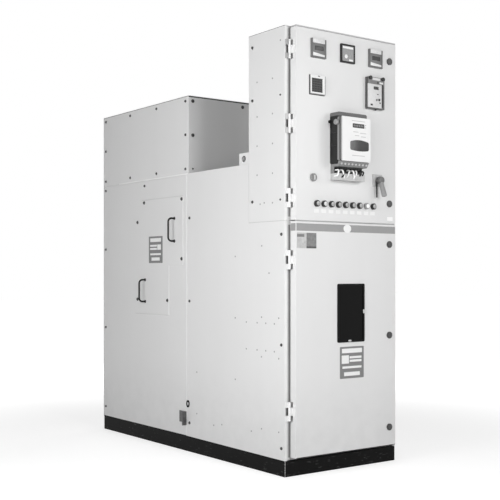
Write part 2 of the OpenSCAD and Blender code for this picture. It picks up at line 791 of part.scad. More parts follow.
// Rotary switches: a plate and boss on the door, with the contact stack behind it
plate_t = 8;
plate_r = 3;
boss_d = 26;
boss_t = 8;
selector_plate_d = 46;
selector_plate_t = 6;
stack = [52, 52];
stack_depth = 70;

module switch_plates() color(steel) from_corner() {
    for (p = [control_at, selector_at]) {
        door_bar(p, switch_neck_d, front_y - eps, skin_y + eps);
        door_block(p, stack, skin_y, skin_y + stack_depth);
    }
    door_bar(control_at, boss_d, front_y - plate_t - boss_t, front_y - plate_t + eps);
    door_plate(control_at, [control_plate, control_plate], plate_r, front_y - plate_t, front_y);
    door_bar(selector_at, selector_plate_d, front_y - selector_plate_t, front_y);
}

// Pistol grip: a round hub, a grip leaning out from the door and a pointer hanging by the plate
hub_d = 40;
hub_t = 26;
hub_y = front_y - plate_t - boss_t - seat_gap;
grip_t = 24;
grip_w = [24, 30];
grip_r = 6;
pointer = [9, 3, 87];
pointer_drop = 4;
pointer_off = 16;

// Side outline of the grip: wider at its free end, which has round corners
module grip_side() {
    polygon([[-grip_w[0] / 2, 0], [grip_w[0] / 2, 0], [grip_w[1] / 2, grip_l - grip_r],
             [grip_w[1] / 2 - grip_r, grip_l], [-grip_w[1] / 2 + grip_r, grip_l],
             [-grip_w[1] / 2, grip_l - grip_r]]);
    for (s = [-1, 1]) translate([s * (grip_w[1] / 2 - grip_r), grip_l - grip_r]) circle(grip_r);
}

module control_switch_handle() color(dark_grey) from_corner() {
    door_bar(control_at, hub_d, hub_y - hub_t, hub_y);
    translate([control_at[0] - grip_t / 2, hub_y - hub_t / 2, control_at[1]]) rotate([180 - grip_lean, 0, 0])
        rotate([90, 0, 90]) linear_extrude(grip_t) grip_side();
    translate([control_at[0] - pointer_off - pointer[0] / 2, hub_y - pointer[1],
               control_at[1] - pointer_drop - pointer[2]])
        cube(pointer);
}

// Selector knob: a round skirt with a bar across it
skirt_t = 8;
bar_w = 12;
bar_t = 7;
bar_r = 4;
knob_y = front_y - selector_plate_t - seat_gap;

module selector_knob() color(dark_grey) from_corner() {
    door_bar(selector_at, selector_d, knob_y - skirt_t, knob_y);
    door_plate(selector_at, [bar_w, selector_d - bar_r], bar_r, knob_y - skirt_t - bar_t, knob_y - skirt_t);
}

// Window: a pane in the door's opening, held between a rubber frame in front and one behind
rim_t = 4;

module window_frame() color(black) from_corner() {
    outer = window_size + 2 * [window_rim, window_rim];
    for (y = [front_y - rim_t, skin_y]) difference() {
        door_plate(window_at, outer, window_r, y, y + rim_t);
        door_plate(window_at, window_size, window_r / 2, y - eps, y + rim_t + eps);
    }
}

module window_pane() color([0.2, 0.2, 0.22, 0.6]) from_corner()
    door_plate(window_at, window_hole - 2 * [seat_gap, seat_gap], window_r - seat_gap,
               front_y + (sheet_t - pane_t) / 2, front_y + (sheet_t + pane_t) / 2);

base_front_channel();
base_rear_channel();
base_left_channel();
base_right_channel();
floor_plate();
left_side_sheet();
right_side_sheet();
rear_side_covers();
access_cover();
access_cover_handles();
earth_terminal();
roof_sheet();
rear_covers();
chamber_side_covers();
chamber_front_cover();
chamber_rear_cover();
chamber_top_cover();
tower_sides();
tower_top();
tower_rear();
tower_floor();
compartment_barrier();
door_posts();
door_rails();
door_gaskets();
lifting_lugs();
fixed_hinge_leaves();
instrument_door();
instrument_door_hinges();
square_meters();
annunciator();
protection_relay();
energy_meter_case();
energy_meter_cover();
meter_terminal_block();
indicator_lamps();
instrument_door_locks();
switch_plates();
control_switch_handle();
selector_knob();
breaker_door();
breaker_door_hinges();
window_frame();
window_pane();
breaker_door_locks();
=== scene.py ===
"""Looks of a floor-standing high-voltage switchgear panel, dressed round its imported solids.

Lengths are in metres. A field's ending says what it holds: _w, _h, _t, _r and _d are a width, height,
thickness, radius and diameter, _size a width and height, _at a centre and _radius the radius of corners.
_well is the width of a raised rim and the depth inside it, and _span a start and an end. _out and _back
are how far a front stands out of the face that carries it or lies behind it. _tone and _tones are greys,
_gap is the room left, _lap an overlap and _scale a number of features to the metre.
"""
import json
import logging
import math
from collections.abc import Callable, Iterable, Sequence
from dataclasses import dataclass
from enum import Enum
from functools import lru_cache
from typing import Any

import bmesh
import bpy
from mathutils import Matrix, Vector


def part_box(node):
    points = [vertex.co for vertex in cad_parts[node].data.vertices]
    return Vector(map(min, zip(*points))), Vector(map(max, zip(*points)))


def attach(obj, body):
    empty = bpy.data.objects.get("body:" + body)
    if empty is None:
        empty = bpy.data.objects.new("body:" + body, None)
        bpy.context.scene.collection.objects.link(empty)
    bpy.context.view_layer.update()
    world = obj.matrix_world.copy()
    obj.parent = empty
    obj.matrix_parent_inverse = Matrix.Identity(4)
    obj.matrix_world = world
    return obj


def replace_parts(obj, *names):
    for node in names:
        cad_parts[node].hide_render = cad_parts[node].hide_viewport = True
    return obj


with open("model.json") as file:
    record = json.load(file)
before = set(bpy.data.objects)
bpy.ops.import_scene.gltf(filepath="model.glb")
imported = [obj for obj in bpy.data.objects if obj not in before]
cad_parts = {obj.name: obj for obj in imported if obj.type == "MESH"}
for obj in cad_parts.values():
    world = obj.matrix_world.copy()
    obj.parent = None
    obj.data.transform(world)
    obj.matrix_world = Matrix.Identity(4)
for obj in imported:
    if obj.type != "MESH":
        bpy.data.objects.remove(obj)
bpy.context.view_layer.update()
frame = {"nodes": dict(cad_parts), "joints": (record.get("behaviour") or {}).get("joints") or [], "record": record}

LOG = logging.getLogger("switchgear")
CORNER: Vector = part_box("base_front_channel")[0]
CABINET = "cabinet"
UPPER_DOOR = "instrument_door"
LOWER_DOOR = "breaker_door"
Point = tuple[float, float]
Triple = tuple[float, float, float]
Quad = tuple[float, float, float, float]
Places = tuple[Point, ...]
ALL: Point = (-9.0, 9.0)
NEAR = 1e-6


def low(node: str) -> Vector:
    """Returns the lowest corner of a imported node."""
    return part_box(node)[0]


def high(node: str) -> Vector:
    """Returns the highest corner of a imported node."""
    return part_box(node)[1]


def middle(node: str) -> Vector:
    """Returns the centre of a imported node's box."""
    return (low(node) + high(node)) / 2


def mount(name: str) -> dict[str, Any]:
    """Returns one of the record's mounts."""
    return next(m for m in frame["record"]["mounts"] if m["name"] == name)


def grid(firsts: Sequence[float], seconds: Sequence[float]) -> Places:
    """Returns each pair of a first and a second value."""
    return tuple((first, second) for first in firsts for second in seconds)


class Side(Enum):
    """The face that a piece stands on. The value points out of that face."""

    FRONT = (0.0, -1.0, 0.0)
    LEFT = (-1.0, 0.0, 0.0)
    RIGHT = (1.0, 0.0, 0.0)
    REAR = (0.0, 1.0, 0.0)
    TOP = (0.0, 0.0, 1.0)

    @property
    def axis(self) -> int:
        """The number of the axis that the face looks along."""
        return next(k for k, part in enumerate(self.value) if part)

    def level(self, node: str) -> float:
        """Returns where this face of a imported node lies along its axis."""
        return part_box(node)[int(self.value[self.axis] > 0)][self.axis]

    def centre(self, node: str) -> Vector:
        """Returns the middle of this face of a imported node.

        Args:
            node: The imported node.

        Returns:
            The point in the panel's frame.
        """
        at = middle(node)
        at[self.axis] = self.level(node)
        return at

    def point(self, node: str, first: float, second: float) -> Vector:
        """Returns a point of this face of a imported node, measured from the panel's left front bottom corner.

        Args:
            node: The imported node.
            first: The distance along x, or along y on the left and right.
            second: The height, or the distance along y on the top.

        Returns:
            The point in the panel's frame.
        """
        offsets = [first, second]
        offsets.insert(self.axis, 0.0)
        at = CORNER + Vector(offsets)
        at[self.axis] = self.level(node)
        return at

    def stand(self, at: Vector, turn: float = 0.0) -> Matrix:
        """Stands a piece that is modelled along +Z, with +Y up, on this face.

        Args:
            at: The point of the face, in the panel's frame.
            turn: The turn about the piece's own axis, in radians.

        Returns:
            The matrix that takes the modelled piece to its place.
        """
        out = Vector(self.value)
        up = Vector((0, 1, 0)) if self is Side.TOP else Vector((0, 0, 1))
        axes = Matrix((up.cross(out), up, out)).transposed().to_4x4()
        return Matrix.Translation(at) @ axes @ Matrix.Rotation(turn, 4, "Z")

    def on(self, node: str, first: float, second: float, turn: float = 0.0) -> Matrix:
        """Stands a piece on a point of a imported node's face."""
        return self.stand(self.point(node, first, second), turn)


class Edge(Enum):
    """How an outline is rounded. The value holds the rounding's width and its number of steps."""

    PRINT = (0.0001, 1)
    LABEL = (0.0002, 1)
    SHEET = (0.0003, 1)
    WASHER = (0.0004, 1)
    HEAD = (0.0011, 1)
    BADGE = (0.0003, 2)
    FIELD = (0.0004, 2)
    SCREEN = (0.0005, 2)
    BUTTON = (0.0006, 2)
    MOULDED = (0.0008, 2)
    ROUND = (0.001, 2)
    SOFT = (0.0012, 2)
    BOSS = (0.002, 2)


class Socket:
    """A shader socket that takes part in arithmetic."""

    def __init__(self, graph: "Graph", link: bpy.types.NodeSocket) -> None:
        """Keeps the graph and the socket."""
        self.graph = graph
        self.link = link

    def _math(self, operation: str, first: Any, second: Any) -> "Socket":
        """Returns the result of a Math node on two values."""
        return self.graph.node("ShaderNodeMath", {"operation": operation}, {0: first, 1: second})[0]

    def __add__(self, other: Any) -> "Socket":
        """Adds a value or socket."""
        return self._math("ADD", self, other)

    def __radd__(self, other: Any) -> "Socket":
        """Adds to a value."""
        return self._math("ADD", other, self)

    def __sub__(self, other: Any) -> "Socket":
        """Takes a value or socket away."""
        return self._math("SUBTRACT", self, other)

    def __rsub__(self, other: Any) -> "Socket":
        """Is taken away from a value."""
        return self._math("SUBTRACT", other, self)

    def __mul__(self, other: Any) -> "Socket":
        """Multiplies by a value or socket."""
        return self._math("MULTIPLY", self, other)

    def __rmul__(self, other: Any) -> "Socket":
        """Multiplies a value."""
        return self._math("MULTIPLY", other, self)

    def __gt__(self, other: Any) -> "Socket":
        """Is 1 where this is greater, and 0 elsewhere."""
        return self._math("GREATER_THAN", self, other)

    def __lt__(self, other: Any) -> "Socket":
        """Is 1 where this is less, and 0 elsewhere."""
        return self._math("LESS_THAN", self, other)

    def between(self, start: float, end: float) -> "Socket":
        """Returns 0 before start and 1 past end, with a smooth step between them.

        Args:
            start: The value up to which the result is 0.
            end: The value from which the result is 1.

        Returns:
            The smooth step.
        """
        settings = {"interpolation_type": "SMOOTHSTEP"}
        inputs = {"Value": self, "From Min": start, "From Max": end}
        return self.graph.node("ShaderNodeMapRange", settings, inputs)["Result"]


class Node:
    """A shader node whose outputs are read by name or number."""

    def __init__(self, graph: "Graph", made: bpy.types.Node) -> None:
        """Keeps the graph and the node."""
        self.graph = graph
        self.made = made

    def __getitem__(self, key: str | int) -> Socket:
        """Returns an output as a socket for arithmetic."""
        return Socket(self.graph, self.made.outputs[key])


class Graph:
    """The node tree of one material or world."""

    def __init__(self, tree: bpy.types.NodeTree) -> None:
        """Keeps the tree and empties it."""
        self.tree = tree
        tree.nodes.clear()

    def node(self, kind: str, settings: dict[str, Any] | None = None,
             inputs: dict[str | int, Any] | None = None) -> Node:
        """Adds a node.

        Args:
            kind: The node's type.
            settings: The node's properties, which are set first.
            inputs: The values or links of its sockets, by name or number.

        Returns:
            The new node.
        """
        made = self.tree.nodes.new(kind)
        for key, value in (settings or {}).items():
            setattr(made, key, value)
        for key, value in (inputs or {}).items():
            if isinstance(value, Socket):
                self.tree.links.new(value.link, made.inputs[key])
            else:
                made.inputs[key].default_value = value
        return Node(self, made)

    def place(self, stretch: Triple = (1, 1, 1)) -> Socket:
        """Returns the object's own coordinates, stretched along each axis."""
        here = self.node("ShaderNodeTexCoord")["Object"]
        return self.node("ShaderNodeMapping", {}, {"Vector": here, "Scale": stretch})["Vector"]

    def axes(self) -> tuple[Socket, Socket, Socket]:
        """Returns the object's x, y and z."""
        parts = self.node("ShaderNodeSeparateXYZ", {}, {0: self.place()})
        return parts["X"], parts["Y"], parts["Z"]

    def noise(self, scale: float, detail: float = 2.0, stretch: Triple = (1, 1, 1)) -> Socket:
        """Returns noise from about -0.5 to 0.5 with a number of features to the metre."""
        inputs = {"Vector": self.place(stretch), "Scale": scale, "Detail": detail}
        return self.node("ShaderNodeTexNoise", {}, inputs)["Fac"] - 0.5

    def bump(self, height: Socket, strength: float, distance: float) -> Socket:
        """Returns a normal that follows a height."""
        inputs = {"Strength": strength, "Distance": distance, "Height": height}
        return self.node("ShaderNodeBump", {}, inputs)["Normal"]


@dataclass(frozen=True)
class Finish:
    """A surface finish: a grey with a mottle, a roughness and a fine grain."""

    name: str
    slot: str
    grey: float
    rough: float
    metal: float = 0.0
    mottle: float = 0.05
    mottle_scale: float = 9.0
    grain: float = 0.08
    grain_scale: float = 1400.0
    grain_depth: float = 0.0004
    coat: float = 0.0
    shine: float = 0.5
    rough_spread: float = 0.12

    def mottled(self, graph: Graph, base: Any) -> Socket:
        """Returns a grey, or a socket of greys, with the finish's mottle."""
        return base * (1 + self.mottle * 2 * graph.noise(self.mottle_scale, 4))

    def tone(self, graph: Graph) -> Socket:
        """Returns the base grey as it varies over the surface."""
        return self.mottled(graph, self.grey)

    def relief(self, graph: Graph) -> Socket:
        """Returns the normal with the finish's grain."""
        return graph.bump(graph.noise(self.grain_scale), self.grain, self.grain_depth)

    def roughness(self, graph: Graph) -> Socket:
        """Returns the roughness as it varies over the surface."""
        return self.rough + self.rough_spread * graph.noise(self.mottle_scale * 3, 3)

    def sockets(self, graph: Graph) -> dict[str | int, Any]:
        """Returns the values and links of the shader's sockets, by their names."""
        return {
            "Base Color": self.tone(graph),
            "Roughness": self.roughness(graph),
            "Metallic": self.metal,
            "Coat Weight": self.coat,
            "Specular IOR Level": self.shine,
            "Normal": self.relief(graph),
        }

    @lru_cache(maxsize=None)
    def material(self) -> bpy.types.Material:
        """Makes the finish's material once.

        Returns:
            The same material at each call.
        """
        made = bpy.data.materials.new(self.name)
        made.use_nodes = True
        graph = Graph(made.node_tree)
        shader = graph.node("ShaderNodeBsdfPrincipled", {}, self.sockets(graph))
        graph.node("ShaderNodeOutputMaterial", {}, {"Surface": shader["BSDF"]})
        return made


@dataclass(frozen=True)
class PowderCoat(Finish):
    """Powder-coated steel: orange peel, faint clouding, runs, and a darkening near the floor that is partly dust
    and partly painted shade.

    Attributes:
        dust_and_shade_span: The heights at which the darkening of dust and painted shade starts to fade and ends.
    """

    grain_depth: float = 0.0006
    cloud_scale: float = 1.7
    run_scale: float = 9.0
    run_share: float = 0.6
    dust_and_shade_span: Point = (0.06, 0.6)
    dust_and_shade: float = 0.14
    speck_scale: float = 14.0
    speck_base: float = 0.6
    wave: float = 6
    wave_scale: float = 6.0

    def tone(self, graph: Graph) -> Socket:
        """Returns the grey with clouding, runs, and dust with painted shade near the floor.

        Args:
            graph: The material's node tree.

        Returns:
            The grey as it varies over the surface.
        """
        clouds = graph.noise(self.cloud_scale, 3)
        runs = graph.noise(self.run_scale, 2, (1, 1, 0.06))
        height = graph.axes()[2]
        specks = self.speck_base + graph.noise(self.speck_scale, 5)
        # Darker towards the floor: partly dust specks, partly painted shade for the light that falls off there.
        dust_and_shade = (1 - height.between(*self.dust_and_shade_span)) * specks
        return self.grey * (1 + self.mottle * (clouds + self.run_share * runs) - self.dust_and_shade * dust_and_shade)

    def relief(self, graph: Graph) -> Socket:
        """Returns the orange peel of the coat over slightly wavy sheet."""
        peel = graph.noise(self.grain_scale) + self.wave * graph.noise(self.wave_scale, 1)
        return graph.bump(peel, self.grain, self.grain_depth)


@dataclass(frozen=True)
class ScuffedPaint(Finish):
    """Black paint with pale scuffs, and a painted highlight along the base's upright corners, broken up like wear.

    Attributes:
        half: Half the base's width and depth.
    """

    scuff: float = 0.09
    scuff_scale: float = 30.0
    scuff_span: Point = (0.13, 0.2)
    corner_highlight: float = 0.4
    corner_highlight_w: float = 0.003
    corner_highlight_scale: float = 160.0
    corner_highlight_span: Point = (-0.16, 0.12)
    half: Point = (0.38, 0.95)

    def tone(self, graph: Graph) -> Socket:
        """Returns the black with scuffs along the length and the painted highlight along the corners.

        Args:
            graph: The material's node tree.

        Returns:
            The grey as it varies over the surface.
        """
        marks = graph.noise(self.scuff_scale, 6, (1, 1, 4)).between(*self.scuff_span)
        x, y, _ = graph.axes()
        # The pale line along the upright corners is a painted highlight.
        start_x, start_y = ((half - self.corner_highlight_w) ** 2 for half in self.half)
        corner = (x * x > start_x) * (y * y > start_y)
        corner_highlight = corner * graph.noise(self.corner_highlight_scale, 3).between(*self.corner_highlight_span)
        black = self.grey * (1 + self.mottle * graph.noise(self.mottle_scale))
        return black + self.scuff * marks + self.corner_highlight * corner_highlight


@dataclass(frozen=True)
class Zoned(Finish):
    """A moulding or print whose grey changes in stated boxes.

    Attributes:
        zones: For each box, its grey and its span along x, y and z. A later box lies over an earlier one.
    """

    zones: tuple[tuple[float, Point, Point, Point], ...] = ()

    def tone(self, graph: Graph) -> Socket:
        """Returns the grey of the box that each place lies in.

        Args:
            graph: The material's node tree.

        Returns:
            The grey as it varies over the surface.
        """
        axes = graph.axes()
        base: Any = self.grey
        for grey, *spans in self.zones:
            tests = [(axis > span[0]) * (axis < span[1]) for axis, span in zip(axes, spans) if span != ALL]
            base = base + (grey - base) * math.prod(tests)
        return self.mottled(graph, base)


@dataclass(frozen=True)
class Faded(Finish):
    """A print that fades into a second grey along x.

    Attributes:
        second: The grey at the far end.
        fade: The x at which the fading starts and ends.
    """

    second: float = 0.02
    fade: Point = (0.0, 1.0)

    def tone(self, graph: Graph) -> Socket:
        """Returns the grey as it fades."""
        share = graph.axes()[0].between(*self.fade)
        return self.mottled(graph, self.grey + (self.second - self.grey) * share)


@dataclass(frozen=True)
class SmokedGlass(Finish):
    """Dark glass with faint smears."""

    grain_depth: float = 0.002
    clear: float = 0.15
    bend: float = 1.5
    wave_scale: float = 8.0

    def relief(self, graph: Graph) -> Socket:
        """Returns a slightly wavy surface."""
        return graph.bump(graph.noise(self.wave_scale, 1), self.grain, self.grain_depth)

    def sockets(self, graph: Graph) -> dict[str | int, Any]:
        """Returns the plain sockets with light going through."""
        return super().sockets(graph) | {"Transmission Weight": self.clear, "IOR": self.bend}


class Finishes:
    """The panel's finishes, named for what they are on."""

    PAINT = PowderCoat("grey_powder_coat", "grey_paint", 0.73, 0.36, mottle=0.05, grain=0.06, grain_scale=700)
    # The chamber's front cover is a little darker than the other sheets: painted shade for the shade behind the
    # tower.
    SHADED_FRONT_COVER = PowderCoat("chamber_front_shaded_coat", "grey_paint", 0.63, 0.36, mottle=0.05, grain=0.06,
                             grain_scale=700)
    BASE = ScuffedPaint("base_black", "black_paint", 0.005, 0.5, mottle=0.5, grain=0.1, shine=0.06,
                        scuff=0.03)
    BLACK = Finish("black_moulding", "black_plastic", 0.014, 0.4, mottle=0.3, shine=0.25)
    DARK = Finish("dark_moulding", "dark_plastic", 0.035, 0.42, mottle=0.25, shine=0.3)
    GREY = Finish("grey_moulding", "grey_plastic", 0.15, 0.45, mottle=0.12)
    GRIP = Finish("grip_moulding", "grey_plastic", 0.27, 0.4, mottle=0.12)
    HUB = Finish("hub_moulding", "grey_plastic", 0.12, 0.4, mottle=0.2)
    KNOB = Finish("selector_moulding", "grey_plastic", 0.24, 0.45, mottle=0.12)
    PALE = Finish("pale_moulding", "pale_plastic", 0.55, 0.42, mottle=0.1)
    RUBBER = Finish("black_rubber_seal", "black_rubber", 0.008, 0.62, mottle=0.3, grain=0.2, shine=0.06)
    STEEL = Finish("dull_plated_steel", "dark_steel", 0.05, 0.42, metal=0.4, mottle=0.3, mottle_scale=60)
    LOCK = Finish("lock_ring", "dark_steel", 0.07, 0.4, metal=0.5, mottle=0.3, mottle_scale=90)
    BOLT = Finish("dull_bolts", "dark_steel", 0.08, 0.5, metal=0.4, mottle=0.3, mottle_scale=120, shine=0.3)
    RIVET = Finish("painted_rivets", "grey_paint", 0.3, 0.4, mottle=0.1)
    SEAM = Finish("painted_seams", "grey_paint", 0.56, 0.4, mottle=0.08)
    EARTH = Finish("earth_plate", "dark_steel", 0.09, 0.45, metal=0.3, mottle=0.3, mottle_scale=90)
    CLIP = Finish("pale_clips", "dark_steel", 0.55, 0.4, metal=0.3, mottle=0.2, mottle_scale=120)
    LENS = Finish("lamp_lens", "lamp_plastic", 0.34, 0.16, coat=0.5, grain=0.03)
    LENS_PALE = Finish("pale_lamp_lens", "lamp_plastic", 0.62, 0.16, coat=0.5, grain=0.03)
    LENS_WHITE = Finish("white_lamp_lens", "lamp_plastic", 0.9, 0.16, coat=0.5, grain=0.03)
    DISPLAY = Finish("dark_display", "dark_plastic", 0.018, 0.2, mottle=0.2, grain=0.01, shine=0.3)
    DIAL = Finish("grey_dial", "grey_plastic", 0.3, 0.5, mottle=0.4, mottle_scale=130)
    PRINT = Finish("pale_printed_sheet", "white_plastic", 0.84, 0.5, mottle=0.03)
    HEADER = Finish("meter_header_print", "white_plastic", 0.72, 0.5, mottle=0.2, mottle_scale=160)
    TAG = Finish("white_tags", "white_plastic", 0.93, 0.45, mottle=0.03)
    CLOUDED = Finish("clouded_print", "pale_plastic", 0.5, 0.5, mottle=0.35, mottle_scale=70)
    SHEET = Finish("pale_front_sheet", "pale_plastic", 0.68, 0.5, mottle=0.12, mottle_scale=80)
    SHADE = Finish("grey_printed_sheet", "grey_plastic", 0.19, 0.5, mottle=0.08)
    BAND = Finish("grey_band_paint", "grey_paint", 0.3, 0.42, mottle=0.05, mottle_scale=30)
    GLASS = SmokedGlass("smoked_glass", "window_glass", 0.005, 0.06, mottle=0.2, grain=0.02, shine=0.03)


class Bench:
    """One mesh object under work, shaped with edit-mode operators."""

    ROUND_SIDES = 32
    CORNER_STEPS = 5
    ARCH_CUTS = 7

    def __init__(self, obj: bpy.types.Object) -> None:
        """Keeps the object."""
        self.obj = obj

    @staticmethod
    def clear() -> None:
        """Leaves edit mode and deselects everything."""
        if bpy.context.mode != "OBJECT":
            bpy.ops.object.mode_set(mode="OBJECT")
        bpy.ops.object.select_all(action="DESELECT")

    @classmethod
    def start(cls, primitive: Callable[..., Any], **sizes: Any) -> "Bench":
        """Adds a primitive to start from, with nothing else selected.

        Args:
            primitive: The operator that adds it.
            sizes: The operator's sizes and place.

        Returns:
            The new piece under work, with its object at the origin.
        """
        cls.clear()
        primitive(**sizes)
        bpy.ops.object.transform_apply(location=True, rotation=True, scale=True)
        return cls(bpy.context.object)

    @classmethod
    def block(cls, width: float, height: float, start: float, end: float, at: Point = (0, 0)) -> "Bench":
        """Starts from a block that stands on the face's plane.

        Args:
            width: Its size along the face's x.
            height: Its size along the face's y.
            start: Where it starts along the way out of the face.
            end: Where it ends along the way out of the face.
            at: Its centre on the face.

        Returns:
            The new piece under work.
        """
        place = (*at, (start + end) / 2)
        size = (width, height, end - start)
        return cls.start(bpy.ops.mesh.primitive_cube_add, size=1, location=place, scale=size)

    @classmethod
    def disc(cls, radius: float, start: float, end: float, sides: int = ROUND_SIDES,
             at: Point = (0, 0)) -> "Bench":
        """Starts from a round or many-sided block, placed as block places its own."""
        return cls.start(bpy.ops.mesh.primitive_cylinder_add, vertices=sides, radius=radius,
                         depth=end - start, location=(*at, (start + end) / 2))

    @classmethod
    def ring(cls, inner: float, outer: float, thick: float) -> "Bench":
        """Makes a flat ring that stands on the face's plane.

        Args:
            inner: The radius of its hole.
            outer: Its outer radius.
            thick: Its thickness.

        Returns:
            The new piece under work.
        """
        bench = cls.start(bpy.ops.mesh.primitive_circle_add, vertices=cls.ROUND_SIDES, radius=inner)
        bench.pick("EDGE", lambda e: True)
        bpy.ops.mesh.extrude_edges_move()
        bpy.ops.transform.resize(value=(outer / inner, outer / inner, 1), center_override=(0, 0, 0))
        bpy.ops.mesh.select_all(action="SELECT")
        cls.push((0, 0, thick))
        bpy.ops.mesh.select_all(action="SELECT")
        bpy.ops.mesh.normals_make_consistent(inside=False)
        return bench.rest()

    @staticmethod
    def joined(pieces: "Sequence[Bench]") -> "Bench":
        """Joins pieces under work into the first of them."""
        return pieces[0].join(*pieces[1:])

    @property
    def top(self) -> float:
        """The highest place along the way out of the face."""
        return max(v.co.z for v in self.obj.data.vertices)

    def pick(self, kind: str, test: Callable[[Any], bool]) -> None:
        """Selects the faces or edges that pass a test.

        Args:
            kind: FACE or EDGE.
            test: Whether a face or edge is wanted.
        """
        self.wake()
        bpy.ops.object.mode_set(mode="EDIT")
        bpy.ops.mesh.select_mode(type=kind)
        bpy.ops.mesh.select_all(action="DESELECT")
        work = bmesh.from_edit_mesh(self.obj.data)
        for item in work.faces if kind == "FACE" else work.edges:
            item.select_set(bool(test(item)))
        work.select_flush_mode()
        bmesh.update_edit_mesh(self.obj.data)

    def wake(self) -> None:
        """Makes this the one selected and active object, in object mode."""
        self.clear()
        self.obj.select_set(True)
        bpy.context.view_layer.objects.active = self.obj

    def rest(self) -> "Bench":
        """Goes back to object mode."""
        bpy.ops.object.mode_set(mode="OBJECT")
        return self

    def pick_top(self) -> None:
        """Selects the faces that look straight out at the top."""
        top = self.top
        self.pick("FACE", lambda f: f.normal.z > 0.9 and abs(f.calc_center_median().z - top) < NEAR)

    @staticmethod
    def push(by: Triple) -> None:
        """Extrudes what is selected."""
        bpy.ops.mesh.extrude_region_move(TRANSFORM_OT_translate={"value": by})

    def round_corners(self, radius: float) -> "Bench":
        """Rounds the upright edges.

        Args:
            radius: The radius of the corners.

        Returns:
            The same piece.
        """
        self.pick("EDGE", lambda e: abs((e.verts[0].co - e.verts[1].co).normalized().z) > 0.99)
        bpy.ops.mesh.bevel(offset=radius, segments=self.CORNER_STEPS, affect="EDGES")
        return self.rest()

    def round_top(self, width: float, steps: int) -> "Bench":
        """Rounds the outline of the top face.

        Args:
            width: The width of the rounding.
            steps: The number of its steps.

        Returns:
            The same piece.
        """
        top = self.top
        self.pick("EDGE", lambda e: all(abs(v.co.z - top) < NEAR for v in e.verts)
                  and any(f.normal.z < 0.5 for f in e.link_faces))
        bpy.ops.mesh.bevel(offset=width, segments=steps, affect="EDGES")
        return self.rest()

    def soften(self, edge: Edge) -> "Bench":
        """Rounds the outline of the top face as a kind of edge asks."""
        return self.round_top(*edge.value)

    def sink(self, rim: float, depth: float) -> "Bench":
        """Insets the top face by a rim and pushes it in.

        Args:
            rim: The width of the rim that stays.
            depth: How far the rest goes in.

        Returns:
            The same piece.
        """
        self.pick_top()
        bpy.ops.mesh.inset(thickness=rim)
        self.push((0, 0, -depth))
        return self.rest()

    def grow(self, steps: Sequence[Point]) -> "Bench":
        """Extrudes the top face in steps, as a turned or tapered form.

        Args:
            steps: For each step, how far it goes out and the factor by which it widens.

        Returns:
            The same piece.
        """
        self.pick_top()
        for out, factor in steps:
            self.push((0, 0, out))
            bpy.ops.transform.resize(value=(factor, factor, 1), center_override=(0, 0, 0))
        return self.rest()

    def shift(self, test: Callable[[Any], bool], by: Triple) -> "Bench":
        """Moves the edges that pass a test.

        Args:
            test: Whether an edge is to move.
            by: How far it moves.

        Returns:
            The same piece.
        """
        self.pick("EDGE", test)
        bpy.ops.transform.translate(value=by)
        return self.rest()

    def arch(self, side: float, rise: float) -> "Bench":
        """Bows a straight side of the outline into an arch.

        Args:
            side: The y of the side.
            rise: How far its middle moves along y.

        Returns:
            The same piece.
        """
        def on_side(vertex: Any) -> bool:
            """Tells whether a vertex lies on the side."""
            return abs(vertex.co.y - side) < NEAR

        def along(edge: Any) -> bool:
            """Tells whether an edge runs along the side."""
            first, second = edge.verts
            return on_side(first) and on_side(second) and abs(first.co.x - second.co.x) > 1e-4

        self.pick("EDGE", along)
        bpy.ops.mesh.subdivide(number_cuts=self.ARCH_CUTS)
        self.rest()
        places = sorted({round(v.co.x, 6) for v in self.obj.data.vertices if on_side(v)})
        half = (places[-1] - places[0]) / 2
        for x in places[1:-1]:
            share = (x - places[0]) / half - 1
            self.shift(lambda e: all(abs(v.co.x - x) < 1e-5 and on_side(v) for v in e.verts),
                       (0, rise * (1 - share * share), 0))
        return self

    def squeeze(self, x: float, y: float) -> "Bench":
        """Scales the whole piece along the face's x and y, about the face's origin.

        Args:
            x: The factor along x.
            y: The factor along y.

        Returns:
            The same piece.
        """
        self.pick("FACE", lambda f: True)
        bpy.ops.transform.resize(value=(x, y, 1), center_override=(0, 0, 0))
        return self.rest()

    def join(self, *others: "Bench") -> "Bench":
        """Joins other pieces under work into this one.

        Args:
            others: The other pieces.

        Returns:
            The same piece.
        """
        self.wake()
        for other in others:
            other.obj.select_set(True)
        bpy.ops.object.join()
        return self

    def spread(self, places: Iterable[Matrix]) -> "Bench":
        """Copies the piece to each place, each copy with its own mesh, and joins the copies.

        Args:
            places: The matrices that take the modelled piece to its places.

        Returns:
            The joined copies.
        """
        copies = []
        for place in places:
            mesh = self.obj.data.copy()
            mesh.transform(place)
            copy = bpy.data.objects.new(self.obj.name, mesh)
            bpy.context.scene.collection.objects.link(copy)
            copies.append(Bench(copy))
        bpy.data.objects.remove(self.obj)
        return copies[0].join(*copies[1:]) if len(copies) > 1 else copies[0]

    def stand(self, side: Side, at: Vector, turn: float = 0.0) -> "Bench":
        """Stands the modelled piece on one point of a face."""
        return self.spread([side.stand(at, turn)])

    def fit(self, name: str, body: str, finish: Finish, angle: float = 35.0) -> bpy.types.Object:
        """Names, shades and dresses the finished piece, and lets it ride on a body.

        Args:
            name: The piece's name.
            body: The body that carries it.
            finish: Its finish.
            angle: Edges sharper than this stay crisp, in degrees.

        Returns:
            The finished object.
        """
        self.wake()
        bpy.ops.object.shade_smooth_by_angle(angle=math.radians(angle))
        self.obj.name = name
        self.obj.data.materials.clear()
        self.obj.data.materials.append(finish.material())
        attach(self.obj, body)
        LOG.info("%s rides on %s, %d faces", name, body, len(self.obj.data.polygons))
        return self.obj


